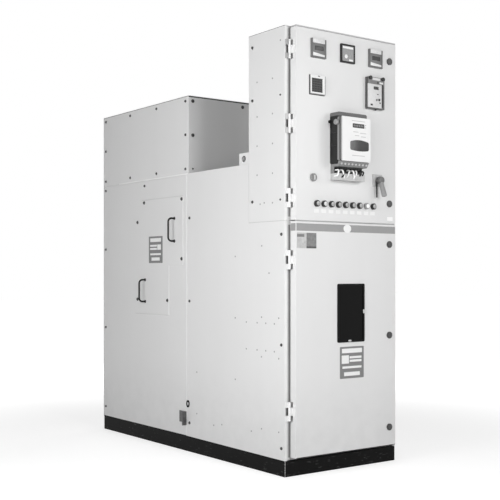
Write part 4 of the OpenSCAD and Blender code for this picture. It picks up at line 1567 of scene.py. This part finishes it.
@dataclass
class EnergyMeterFace(InstrumentFace):
    """What shows on the energy meter: display, dark badge, print bars, terminal screws and wires.

    Attributes:
        bars: Place and width of each print bar.
        badge: Left and right, lower and upper edge of the dark badge.
        badge_arches: How far the badge's upper and lower side bow out.
        cover_and_groove_shade_tones: The greys of the cover's front, border and rim, and of the painted shade in
            its groove.
        boss_at: The boss's place behind the cover's front and below its top.
        block_tones: The greys of the block's foot, strip and mouths.
        white_wires: Each white wire's terminal, its drop as a share of the room and its slant in degrees.
        black_wires: The same for each black wire.
    """

    print_span: Point = (-0.001, 0.0004)
    display: Pad = Pad.spanning((0.078, 0.159), (0.171, 0.193))
    display_radius: float = 0.003
    display_well: Point = (0.003, 0.0002)
    dot_r: float = 0.0022
    dot_off: float = 0.009
    dot_in: float = 0.005
    digits: int = 6
    digit_in: float = 0.005
    digit_share: Point = (0.6, 0.4)
    bar_h: float = 0.004
    bar_t: float = 0.0003
    bars: tuple[Triple, ...] = (
        (0.118, 0.206, 0.090), (0.100, 0.150, 0.036), (0.150, 0.146, 0.044), (0.108, 0.132, 0.030),
        (0.152, 0.128, 0.034), (0.118, 0.030, 0.086))
    badge: tuple[Point, Point] = ((0.061, 0.190), (0.057, 0.103))
    badge_radius: float = 0.010
    badge_arches: Point = (0.007, 0.004)
    badge_fade: float = 0.07
    front_t: float = 0.004
    groove: float = 0.007
    groove_lap: float = 0.001
    border_w: float = 0.007
    cover_and_groove_shade_tones: Quad = (0.82, 0.3, 0.22, 0.03)
    boss_r: float = 0.014
    boss_span: Point = (-0.006, 0.005)
    boss_well: Point = (0.005, 0.0015)
    boss_at: Point = (0.025, 0.0295)
    terminals: int = 8
    strip_slope: float = 0.018
    strip_h: float = 0.026
    foot_h: float = 0.034
    foot_out: float = 0.020
    mouth_out: float = 0.026
    wall: float = 0.002
    mouth_lap: float = 0.001
    block_tones: Triple = (0.5, 0.2, 0.02)
    screw: Dot = Dot(0.0056)
    screw_span: Point = (-0.001, 0.003)
    screw_well: Point = (0.0016, 0.0006)
    slot: Pad = Pad((0.0076, 0.0016))
    slot_span: Point = (0.002, 0.0032)
    wire_r: float = 0.0042
    wire_in: float = 0.010
    wire_gap: float = 0.001
    bend_r: float = 0.009
    bend_steps: int = 6
    white_wires: tuple[tuple[int, float, float], ...] = (
        (0, 0.5, -16), (1, 0.8, 20), (3, 0.6, -24), (4, 0.75, 14), (5, 0.3, -10))
    black_wires: tuple[tuple[int, float, float], ...] = ((2, 0.9, -34), (6, 0.2, 6), (7, 0.1, -14))
    name = "energy_meter"

    @property
    def centre(self) -> Vector:
        """The lower left corner of the cover's front, which its pieces are measured from."""
        return low("energy_meter_cover")

    def cover_finish(self) -> Zoned:
        """Makes the cover's finish.

        Returns:
            A white front with a grey left border, painted shade in the groove and a grey rim.
        """
        front, border, rim, groove = self.cover_and_groove_shade_tones
        back = self.centre.y + self.front_t
        rim_y = back + self.groove
        left = (ALL[0], self.centre.x + self.border_w)
        # The near-black groove between the front and the rim is painted shade.
        return Zoned("energy_meter_cover", "white_plastic", front, 0.38, zones=(
            (border, left, ALL, ALL), (rim, ALL, (rim_y, ALL[1]), ALL),
            (groove, ALL, (back, rim_y + self.groove_lap), ALL)))

    def block_finish(self) -> Zoned:
        """Makes the terminal block's finish.

        Returns:
            A pale foot, a grey strip and dark mouths.
        """
        pale, grey, dark = self.block_tones
        start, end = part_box("meter_terminal_block")
        foot, strip = start.z + self.foot_h, end.z - self.strip_h
        inside = (start.x + self.wall, end.x - self.wall)
        return Zoned("terminal_block", "pale_plastic", pale, 0.42, mottle=0.25, mottle_scale=70, zones=(
            (grey, ALL, ALL, (foot, ALL[1])), (dark, inside, ALL, (foot + self.mouth_lap, strip))))

    def build(self) -> None:
        """Builds the pieces."""
        self.build_display()
        self.build_badge()
        self.build_boss()
        self.build_screws()
        self.build_wires()

    def build_display(self) -> None:
        """The display with its plain segments, two dots beside it and faint bars."""
        (width, height), (x, z) = self.display.size, self.display.at
        display = self.display.block(*self.print_span).round_corners(self.display_radius).soften(Edge.LABEL)
        display.sink(*self.display_well)
        rise = height / 2 - self.dot_in
        dots = [Dot(self.dot_r, (x + width / 2 + self.dot_off, z + way * rise), 16).disc(*self.print_span)
                for way in (-1, 1)]
        display.join(*(dot.soften(Edge.SHEET) for dot in dots))
        self.put(display, "display", Finishes.DISPLAY)
        step = (width - 2 * self.digit_in) / self.digits
        wide, tall = self.digit_share
        segment = Bench.block(step * wide, height * tall, 0, self.print_span[1]).soften(Edge.PRINT)
        first = x - width / 2 + self.digit_in
        places = [Matrix.Translation((first + (k + 0.5) * step, z, 0)) for k in range(self.digits)]
        self.put(segment.spread(places), "segments", Finishes.SHADE)
        pads = [Pad((length, self.bar_h), (bar_x, bar_z)) for bar_x, bar_z, length in self.bars]
        bars = [pad.block(self.print_span[0], self.bar_t).soften(Edge.PRINT) for pad in pads]
        self.put(Bench.joined(bars), "bars", Finishes.PALE)

    def build_badge(self) -> None:
        """A blank dark badge with rounded corners and bowed long sides."""
        x, z = self.badge
        upper, lower = self.badge_arches
        badge = Pad.spanning(x, z).block(*self.print_span).round_corners(self.badge_radius)
        badge.arch(z[1], upper).arch(z[0], -lower).soften(Edge.BADGE)
        start = self.centre.x + x[0]
        finish = Faded("dark_badge", "dark_plastic", 0.11, 0.45, mottle=0.4, mottle_scale=70,
                       second=0.016, fade=(start, start + self.badge_fade))
        self.put(badge, "badge", finish)

    def build_boss(self) -> None:
        """A round boss where the cover meets the case, on the left side."""
        boss = Dot(self.boss_r, sides=32).disc(*self.boss_span).soften(Edge.BOSS)
        boss.sink(*self.boss_well)
        at = Vector((low("energy_meter_case").x, self.centre.y + self.boss_at[0],
                     high("energy_meter_cover").z - self.boss_at[1]))
        boss.stand(Side.LEFT, at).fit("energy_meter_boss", UPPER_DOOR, Finishes.GRIP)

    def columns(self) -> list[float]:
        """Finds the terminals.

        Returns:
            The x of each terminal.
        """
        start = low("meter_terminal_block").x
        width = high("meter_terminal_block").x - start
        return [start + (k + 0.5) * width / self.terminals for k in range(self.terminals)]

    def build_screws(self) -> None:
        """Round slotted screws on the sloping strip."""
        y = low("meter_terminal_block").y + self.strip_slope / 2
        z = high("meter_terminal_block").z - self.strip_h / 2
        screw = self.screw.disc(*self.screw_span).soften(Edge.ROUND).sink(*self.screw_well)
        slot = self.slot.block(*self.slot_span).soften(Edge.SHEET)
        tilt = Matrix.Rotation(math.atan2(self.strip_slope, self.strip_h), 4, "X")
        places = [Side.FRONT.stand(Vector((x, y, z))) @ tilt for x in self.columns()]
        screw.join(slot).spread(places).fit("terminal_screws", UPPER_DOOR, Finishes.CLIP)

    def wire(self, out: float, down: float) -> Bench:
        """Models one wire that leaves its terminal, turns down and turns back into the foot.

        Args:
            out: The straight length out of the terminal, and back into the foot.
            down: The straight length down.

        Returns:
            The wire, starting at its terminal's mouth.
        """
        bench = Bench.disc(self.wire_r, -self.wire_in, out, 12)
        bench.pick_top()
        for length, axis_y in (((0, -down, 0), -self.bend_r), ((0, 0, -out), -self.bend_r - down)):
            bpy.ops.mesh.spin(steps=self.bend_steps, angle=-math.pi / 2, center=(0, axis_y, out),
                              axis=(1, 0, 0))
            bench.push(length)
        bpy.ops.mesh.select_all(action="SELECT")
        bpy.ops.mesh.remove_doubles(threshold=NEAR)
        bpy.ops.mesh.normals_make_consistent(inside=False)
        return bench.rest()

    def build_wires(self) -> None:
        """White and black wires that hang, each at its own slant, from the terminals to the foot."""
        foot = low("meter_terminal_block").z
        mouth_z = foot + self.foot_h / 2 + (high("meter_terminal_block").z - foot - self.strip_h) / 2
        mouth_y = low(UPPER_DOOR).y - self.mouth_out
        out = self.foot_out + self.wire_r + self.wire_gap - self.bend_r
        room = mouth_z - foot - 2 * self.bend_r - self.wire_r
        columns = self.columns()
        for label, finish, chosen in (("white", Finishes.PRINT, self.white_wires),
                                      ("black", Finishes.BLACK, self.black_wires)):
            made = []
            for column, share, slant in chosen:
                at = Vector((columns[column], mouth_y, mouth_z))
                made.append(self.wire(out, share * room).stand(Side.FRONT, at, math.radians(slant)))
            Bench.joined(made).fit(f"{label}_wires", UPPER_DOOR, finish)


@dataclass
class LampRow:
    """Lenses and tags of the indicator lamps.

    Attributes:
        collar_tones: The greys of the dark collars and of the white lamp's collar.
        lens_dome: For each step of the dome, its height and the factor by which it widens.
    """

    count: int = 9
    collar_d: float = 0.033
    collar_out: float = 0.013
    collar_tones: Point = (0.02, 0.3)
    collar_lap: float = 0.002
    lens_r: float = 0.0122
    lens_in: float = 0.001
    lens_out: float = 0.0022
    lens_dome: Places = ((0.0016, 0.96), (0.001, 0.9), (0.0004, 0.8), (0.0002, 0.5))
    tag_size: Point = (0.031, 0.018)
    tag_t: float = 0.001
    tag_radius: float = 0.002
    tag_well: Point = (0.0015, 0.0003)
    tag_drop: float = 0.0375
    corner_size: Point = (0.041, 0.020)
    corner_at: Point = (0.6825, 1.306)
    pale: int = 1
    white: int = 7

    def finish(self) -> Zoned:
        """Makes the collars' finish.

        Returns:
            Dark, and pale round the white lamp.
        """
        dark, pale = self.collar_tones
        x, reach = self.centres()[self.white].x, self.collar_d / 2 + self.collar_lap
        return Zoned("lamp_collars", "lamp_plastic", dark, 0.4, mottle=0.2, shine=0.3,
                     zones=((pale, (x - reach, x + reach), ALL, ALL),))

    def centres(self) -> list[Vector]:
        """Finds the lamps.

        Returns:
            The middle of each lamp on the door's face.
        """
        start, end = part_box("indicator_lamps")
        first = start.x + self.collar_d / 2
        pitch = (end.x - self.collar_d / 2 - first) / (self.count - 1)
        face = low(UPPER_DOOR).y
        return [Vector((first + k * pitch, face, (start.z + end.z) / 2)) for k in range(self.count)]

    def lens(self) -> Bench:
        """Models one domed lens."""
        lens = Bench.disc(self.lens_r, self.collar_out - self.lens_in, self.collar_out + self.lens_out)
        return lens.grow(self.lens_dome)

    def tag(self, size: Point) -> Bench:
        """Models one bare tag with a raised rim."""
        tag = Bench.block(*size, 0, self.tag_t).round_corners(self.tag_radius).soften(Edge.SHEET)
        return tag.sink(*self.tag_well)

    def build(self) -> None:
        """Builds the lenses and the tags."""
        centres = self.centres()
        others = [k for k in range(self.count) if k not in (self.pale, self.white)]
        for label, finish, chosen in (("grey", Finishes.LENS, others),
                                      ("pale", Finishes.LENS_PALE, [self.pale]),
                                      ("white", Finishes.LENS_WHITE, [self.white])):
            places = [Side.FRONT.stand(centres[k]) for k in chosen]
            self.lens().spread(places).fit(f"{label}_lamp_lenses", UPPER_DOOR, finish)
        places = [Side.FRONT.stand(at - Vector((0, 0, self.tag_drop))) for at in centres]
        self.tag(self.tag_size).spread(places).fit("lamp_tags", UPPER_DOOR, Finishes.PRINT)
        corner = Side.FRONT.point(UPPER_DOOR, *self.corner_at)
        self.tag(self.corner_size).stand(Side.FRONT, corner).fit("corner_tag", UPPER_DOOR, Finishes.TAG)


@dataclass
class LockFaces:
    """Grey rings on the quarter-turn locks."""

    ring_r: float = 0.0118
    ring_t: float = 0.0012
    well_r: float = 0.007
    well_depth: float = 0.0008

    def build(self) -> None:
        """Builds the rings of both doors' locks. The breaker door's third lock is half-way up the door."""
        for door, inner in ((UPPER_DOOR, []), (LOWER_DOOR, [middle(LOWER_DOOR).z])):
            node = f"{door}_locks"
            start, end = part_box(node)
            radius = (end.x - start.x) / 2
            heights = [start.z + radius, *inner, end.z - radius]
            ring = Bench.disc(self.ring_r, 0, self.ring_t).soften(Edge.SCREEN)
            ring.sink(self.ring_r - self.well_r, self.well_depth)
            places = [Side.FRONT.stand(Vector(((start.x + end.x) / 2, start.y, z))) for z in heights]
            ring.spread(places).fit(f"{node}_rings", door, Finishes.LOCK)


@dataclass
class SwitchHandle:
    """The pistol grip of the control switch, with its hub and pointer.

    Attributes:
        hub_steps: For each step of its rounded end, its share of the thickness and how it widens.
        neck: The share of the width and depth that the grip starts with.
        swell: For each step of the swelling, its share of the reach and the factor by which it widens.
        pointer: The pointer's width, thickness and length.
    """

    hub_r: float = 0.020
    hub_t: float = 0.026
    hub_straight: float = 0.6
    hub_steps: Places = ((0.25, 0.97), (0.1, 0.9), (0.05, 0.75))
    lean: float = 19.0
    length: float = 0.092
    start: float = 0.010
    thick: float = 0.024
    deep: float = 0.024
    neck: float = 0.86
    neck_share: float = 0.3
    swell: Places = ((0.3, 1.1), (0.28, 1.06), (0.12, 0.92))
    crease: float = 0.35
    levels: int = 3
    pointer: Triple = (0.009, 0.003, 0.087)
    pointer_radius: float = 0.003
    pointer_drop: float = 0.004
    pointer_off: float = 0.016

    def build(self) -> None:
        """Builds the handle in place of the plain one."""
        axis = next(j for j in frame["joints"] if j["name"] == "control_switch_turn")["pos_m"]
        at = Vector((axis[0], high("control_switch_handle").y, axis[2]))
        hub = Bench.disc(self.hub_r, 0, self.hub_t * self.hub_straight, 40)
        hub.grow([(self.hub_t * share, factor) for share, factor in self.hub_steps])
        hub.stand(Side.FRONT, at).fit("switch_hub", "control_switch", Finishes.HUB)
        grip = self.grip().stand(Side.FRONT, at).fit("pistol_grip", "control_switch", Finishes.GRIP)
        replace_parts(grip, "control_switch_handle")
        width, thick, length = self.pointer
        pointer = Bench.block(width, length, 0, thick, (-self.pointer_off, -self.pointer_drop - length / 2))
        pointer.round_corners(self.pointer_radius).soften(Edge.MOULDED)
        pointer.stand(Side.FRONT, at).fit("switch_pointer", "control_switch", Finishes.BLACK)

    def grip(self) -> Bench:
        """Models the grip as a rounded bar that swells towards its end.

        Returns:
            The grip, leaning out from the hub's axis.
        """
        reach = self.length - self.start
        neck_end = self.start + reach * self.neck_share
        bar = Bench.block(self.thick * self.neck, self.deep * self.neck, self.start, neck_end)
        bar.grow([(reach * share, factor) for share, factor in self.swell])
        smooth = bar.obj.modifiers.new("round", "SUBSURF")
        smooth.levels = smooth.render_levels = self.levels
        crease = bar.obj.data.attributes.new("crease_edge", "FLOAT", "EDGE")
        for edge in bar.obj.data.edges:
            crease.data[edge.index].value = self.crease
        bar.wake()
        bpy.ops.object.modifier_apply(modifier=smooth.name)
        tilt = Matrix.Rotation(math.radians(90 - self.lean), 4, "X")
        bar.obj.data.transform(Matrix.Translation((0, 0, self.hub_t / 2)) @ tilt)
        return bar


@dataclass
class SelectorMark:
    """The pale line on the selector's knob."""

    width: float = 0.004
    length: float = 0.024
    proud: float = 0.0005
    radius: float = 0.0015

    def build(self) -> None:
        """Builds the line."""
        line = Bench.block(self.width, self.length, -self.proud, self.proud).round_corners(self.radius)
        at = Side.FRONT.centre("selector_knob")
        line.soften(Edge.LABEL).stand(Side.FRONT, at).fit("selector_mark", "selector", Finishes.TAG)


@dataclass
class DoorGapStrip:
    """The pale strip under the instrument door's lower edge."""

    back: float = 0.003
    depth: float = 0.010
    clear: float = 0.002
    inset: float = 0.004

    def build(self) -> None:
        """Builds the strip, which rides with the instrument door."""
        start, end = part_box(UPPER_DOOR)
        drop = start.z - high(LOWER_DOOR).z - self.clear
        at = Vector(((start.x + end.x) / 2, start.y + self.back + self.depth, start.z - drop / 2))
        strip = Bench.block(end.x - start.x - 2 * self.inset, drop, 0, self.depth).soften(Edge.MOULDED)
        strip.stand(Side.FRONT, at).fit("door_gap_strip", UPPER_DOOR, Finishes.PALE)


@dataclass
class SoftEdges:
    """Rounded copies of the folded sheets, which stand for the plain ones.

    Attributes:
        sharp: Edges sharper than this are rounded, in degrees.
        crisp: Edges sharper than this stay crisp after that, in degrees.
    """

    radius: float = 0.0016
    sharp: float = 40.0
    crisp: float = 30.0

    def build(self, node: str, finish: Finish) -> None:
        """Rounds the edges of a copy of one node, dresses it and lets it stand for the node.

        Args:
            node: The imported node.
            finish: Its finish.
        """
        Bench.clear()
        copy = bpy.data.objects.new(f"{node}_sheet", frame["nodes"][node].data.copy())
        bpy.context.scene.collection.objects.link(copy)
        bench = Bench(copy)
        bench.pick("FACE", lambda f: True)
        bpy.ops.mesh.remove_doubles(threshold=1e-5)
        bpy.ops.mesh.dissolve_limited(angle_limit=math.radians(1))
        bench.rest()
        bevel = copy.modifiers.new("edge", "BEVEL")
        bevel.width = self.radius
        bevel.segments = 2
        bevel.limit_method = "ANGLE"
        bevel.angle_limit = math.radians(self.sharp)
        even = copy.modifiers.new("even", "WEIGHTED_NORMAL")
        even.keep_sharp = True
        bench.wake()
        bpy.ops.object.shade_smooth_by_angle(angle=math.radians(self.sharp))
        for modifier in (bevel, even):
            bpy.ops.object.modifier_apply(modifier=modifier.name)
        body = next(b for b, nodes in frame["record"]["behaviour"]["bodies"].items() if node in nodes)
        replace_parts(bench.fit(f"{node}_sheet", body, finish, self.crisp), node)


@dataclass(frozen=True)
class Softbox:
    """A square area lamp."""

    name: str
    at: Triple
    towards: Triple
    size: float
    power: float

    def build(self) -> None:
        """Builds the lamp."""
        data = bpy.data.lights.new(self.name, "AREA")
        data.size = self.size
        data.energy = self.power
        lamp = bpy.data.objects.new(self.name, data)
        lamp.location = self.at
        lamp.rotation_euler = (Vector(self.towards) - Vector(self.at)).to_track_quat("-Z", "Y").to_euler()
        bpy.context.scene.collection.objects.link(lamp)


@dataclass
class Studio:
    """The floor, the light and the camera.

    Attributes:
        rise: The camera's shift up, as a share of the picture.
        floor_glow: How white the floor shows of itself near the panel and far away.
        floor_fade: The distances between which it turns from the first to the second.
    """

    sensor: float = 36.0
    lens: float = 69.82
    rise: float = 0.0474
    eye: Triple = (-3.379, -4.725, 1.013)
    heading: Point = (0.5934, 0.8049)
    floor_size: float = 60.0
    floor_drop: float = 0.0005
    floor_glow: Point = (0.66, 1.0)
    floor_fade: Point = (1.2, 4.0)
    floor_grey: float = 0.5
    floor_bounce: float = 0.8
    ambient: float = 0.03
    softboxes: tuple[Softbox, ...] = (
        Softbox("left_softbox", (-4.0, -1.2, 1.8), (0.0, -0.2, 1.1), 1.6, 74),
        Softbox("near_softbox", (-2.2, -2.2, 1.4), (-0.2, -0.8, 1.2), 1.6, 24),
        Softbox("front_softbox", (-0.6, -5.4, 2.2), (0.0, -0.9, 1.1), 1.6, 102),
        Softbox("right_softbox", (2.4, -4.6, 2.6), (0.0, -0.9, 1.1), 1.6, 32),
        Softbox("far_side_softbox", (4.2, 2.4, 2.4), (0.3, 0.2, 1.1), 2.0, 50),
        Softbox("rear_softbox", (1.0, 5.0, 1.9), (0.0, 0.9, 1.1), 2.0, 46),
    )

    def build(self) -> None:
        """Builds the studio."""
        bpy.context.scene.view_settings.view_transform = "Standard"
        self.build_camera()
        self.build_world()
        self.build_floor()
        for softbox in self.softboxes:
            softbox.build()

    def build_camera(self) -> None:
        """Sets the camera where the photograph was taken."""
        data = bpy.data.cameras.new("camera")
        data.sensor_width = self.sensor
        data.lens = self.lens
        data.shift_y = self.rise
        camera = bpy.data.objects.new("camera", data)
        camera.location = self.eye
        camera.rotation_euler = (math.pi / 2, 0, -math.atan2(*self.heading))
        bpy.context.scene.collection.objects.link(camera)
        bpy.context.scene.camera = camera

    @staticmethod
    def by_ray(graph: Graph, lit: Node, shown: Node) -> Node:
        """Mixes a shader that lights the panel with one that the camera sees.

        Args:
            graph: The node tree of both.
            lit: The shader for rays that light the panel.
            shown: The shader for rays from the camera, straight, mirrored or through glass.

        Returns:
            The mixed shader.
        """
        path = graph.node("ShaderNodeLightPath")
        rays = path["Is Camera Ray"] + path["Is Glossy Ray"] + path["Is Transmission Ray"]
        return graph.node("ShaderNodeMixShader", {}, {0: rays > 0.5, 1: lit[0], 2: shown[0]})

    def build_world(self) -> None:
        """A white surround that lights the panel softly."""
        world = bpy.data.worlds.new("studio")
        world.use_nodes = True
        graph = Graph(world.node_tree)
        soft, white = (graph.node("ShaderNodeBackground", {}, {"Color": (1, 1, 1, 1), "Strength": strength})
                       for strength in (self.ambient, 1.0))
        graph.node("ShaderNodeOutputWorld", {}, {"Surface": self.by_ray(graph, soft, white)[0]})
        bpy.context.scene.world = world

    def build_floor(self) -> None:
        """A wide pale floor that fades to white and keeps a faint shadow."""
        floor = Bench.start(bpy.ops.mesh.primitive_plane_add, size=self.floor_size,
                            location=(0, 0, -self.floor_drop)).obj
        floor.name = "floor"
        made = bpy.data.materials.new("floor_paper")
        made.use_nodes = True
        graph = Graph(made.node_tree)
        away = graph.node("ShaderNodeVectorMath", {"operation": "LENGTH"}, {0: graph.place()})["Value"]
        near, far = self.floor_glow
        glow = near + (far - near) * away.between(*self.floor_fade)
        plain = graph.node("ShaderNodeBsdfDiffuse", {}, {"Color": (*(self.floor_bounce,) * 3, 1)})
        shown = graph.node("ShaderNodeBsdfPrincipled", {}, {
            "Base Color": (*(self.floor_grey,) * 3, 1), "Roughness": 1.0, "Specular IOR Level": 0.0,
            "Emission Color": glow, "Emission Strength": 1.0})
        graph.node("ShaderNodeOutputMaterial", {}, {"Surface": self.by_ray(graph, plain, shown)[0]})
        floor.data.materials.append(made)


@dataclass
class Panel:
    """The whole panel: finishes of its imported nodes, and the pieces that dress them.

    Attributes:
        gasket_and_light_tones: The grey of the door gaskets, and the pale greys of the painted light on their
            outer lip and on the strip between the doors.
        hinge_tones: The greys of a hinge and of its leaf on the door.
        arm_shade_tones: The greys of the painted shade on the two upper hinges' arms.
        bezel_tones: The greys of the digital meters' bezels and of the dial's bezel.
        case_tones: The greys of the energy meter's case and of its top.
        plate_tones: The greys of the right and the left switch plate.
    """

    gasket_and_light_tones: Triple = (0.24, 0.5, 0.6)
    gasket_lip: float = 0.010
    hinge_hollow_shade_tone: float = 0.15
    split_reach: float = 0.02
    knuckle_h: float = 0.040
    hinge_tones: Point = (0.75, 0.72)
    arm_w: float = 0.0155
    arm_reach: float = 1.5
    arm_shade_tones: Point = (0.36, 0.52)
    bezel_tones: Point = (0.15, 0.006)
    bezel_reach: float = 0.06
    case_tones: Point = (0.014, 0.14)
    case_top: float = 0.02
    plate_tones: Point = (0.5, 0.68)
    meters: tuple[MeterKind, ...] = (MeterKind.DIGITAL, MeterKind.DIAL, MeterKind.DIGITAL)

    def hinge_heights(self) -> list[float]:
        """Finds the hinges.

        Returns:
            The heights of the three upper hinges and the two lower ones, from the top.
        """
        heights = []
        for node, count in (("instrument_door_hinges", 3), ("breaker_door_hinges", 2)):
            first = high(node).z - self.knuckle_h / 2
            step = (first - low(node).z - self.knuckle_h / 2) / (count - 1)
            heights += [first - k * step for k in range(count)]
        return heights

    def gasket_finish(self) -> Zoned:
        """Makes the door gaskets' finish.

        Returns:
            Dark, with painted light on the outer lip and on the strip between the doors, and painted shade in the
            hollows behind the hinges.
        """
        dark, lip, strip = self.gasket_and_light_tones
        split = (high(LOWER_DOOR).z + low(UPPER_DOOR).z) / 2
        left = (ALL[0], low("door_gaskets").x + self.gasket_lip)
        right = (high("door_gaskets").x - self.gasket_lip, ALL[1])
        reach = self.knuckle_h / 2
        # Painted shade on the gasket behind the knuckles, and painted light on its lip and between the doors.
        hinge_hollow_shades = [(self.hinge_hollow_shade_tone, left, ALL, (z - reach, z + reach)) for z in self.hinge_heights()]
        return Zoned("door_gasket", "black_rubber", dark, 0.6, mottle=0.2, grain=0.2, shine=0.2, zones=(
            (lip, left, ALL, ALL), (lip, right, ALL, ALL),
            (strip, ALL, ALL, (split - self.split_reach, split + self.split_reach)), *hinge_hollow_shades))

    def hinge_finishes(self) -> tuple[Zoned, Zoned]:
        """Makes the hinges' finishes.

        Returns:
            The finish of the cabinet's arms and knuckles, with painted shade on the two upper hinges' arms, and
            that of the doors' leaves.
        """
        enamel, face = self.hinge_tones
        arm = (ALL[0], CORNER.x + self.arm_w)
        reach = self.arm_reach * self.knuckle_h
        # The two upper hinges' arms are painted darker: painted shade.
        shaded = tuple((grey, arm, ALL, (z - reach, z + reach))
                       for grey, z in zip(self.arm_shade_tones, self.hinge_heights()))
        leaf = ((face, (low(UPPER_DOOR).x, ALL[1]), ALL, ALL),)
        arms, leaves = (Zoned(name, "grey_paint", enamel, 0.36, mottle=0.04, grain=0.04, zones=zones)
                        for name, zones in (("hinge_enamel", shaded), ("door_hinge_enamel", leaf)))
        return arms, leaves

    def special_finishes(self) -> dict[str, Finish]:
        """Makes the finishes of the nodes that are more than one plain tone.

        Returns:
            The finishes, by the nodes' names.
        """
        dial = middle("square_meters").x
        bezels = Zoned("meter_bezels", "grey_plastic", self.bezel_tones[0], 0.45, shine=0.25, zones=(
            (self.bezel_tones[1], (dial - self.bezel_reach, dial + self.bezel_reach), ALL, ALL),))
        top = (high("energy_meter_case").z - self.case_top, ALL[1])
        case = Zoned("energy_meter_case", "black_plastic", self.case_tones[0], 0.4, mottle=0.3, shine=0.25,
                     zones=((self.case_tones[1], ALL, ALL, top),))
        plates = Zoned("switch_plates", "plate_metal", self.plate_tones[0], 0.4,
                       zones=((self.plate_tones[1], (ALL[0], 0.0), ALL, ALL),))
        meter = EnergyMeterFace()
        arms, leaves = self.hinge_finishes()
        return {
            "chamber_front_cover": Finishes.SHADED_FRONT_COVER, "earth_terminal": Finishes.EARTH,
            "selector_knob": Finishes.KNOB, "switch_plates": plates, "square_meters": bezels,
            "fixed_hinge_leaves": arms, "instrument_door_hinges": leaves, "breaker_door_hinges": leaves,
            "door_gaskets": self.gasket_finish(), "annunciator": AnnunciatorFace().finish(),
            "protection_relay": RelayFace().finish(), "energy_meter_case": case,
            "energy_meter_cover": meter.cover_finish(), "meter_terminal_block": meter.block_finish(),
            "indicator_lamps": LampRow().finish()}

    def dress_nodes(self) -> None:
        """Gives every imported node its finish, and the sheets their rounded edges."""
        by_slot = {
            "grey_paint": Finishes.PAINT, "black_paint": Finishes.BASE, "black_plastic": Finishes.BLACK,
            "dark_steel": Finishes.STEEL, "black_rubber": Finishes.RUBBER, "grey_plastic": Finishes.GREY,
            "window_glass": Finishes.GLASS}
        special = self.special_finishes()
        for part in frame["record"]["subparts"]:
            node = part["node"]
            finish = special.get(node) or by_slot[part["material_slot"]]
            mesh = frame["nodes"][node].data
            mesh.materials.clear()
            mesh.materials.append(finish.material())
            if finish in (Finishes.PAINT, Finishes.SHADED_FRONT_COVER, Finishes.BASE):
                SoftEdges().build(node, finish)

    def build_meters(self) -> None:
        """Builds the faces of the square meters."""
        start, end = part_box("square_meters")
        width = end.z - start.z
        pitch = (end.x - start.x - width) / 2
        for number, kind in enumerate(self.meters):
            at = Vector((start.x + width / 2 + number * pitch, start.y, start.z + width / 2))
            SquareMeter(f"meter_{number + 1}", at, kind, width).build()

    def build(self) -> None:
        """Builds the panel."""
        self.dress_nodes()
        for piece in (CoverFasteners(), JointLines(), RoofLip(), CabinetDetails(), BreakerDoorDetails()):
            piece.build()
        self.build_meters()
        for piece in (AnnunciatorFace(), RelayFace(), EnergyMeterFace(), LampRow(), LockFaces(),
                      SwitchHandle(), SelectorMark(), DoorGapStrip()):
            piece.build()


def main() -> None:
    """Builds the studio and the panel."""
    logging.basicConfig(level=logging.INFO, format="%(name)s: %(message)s")
    Studio().build()
    Panel().build()


if __name__ == "__main__":
    main()
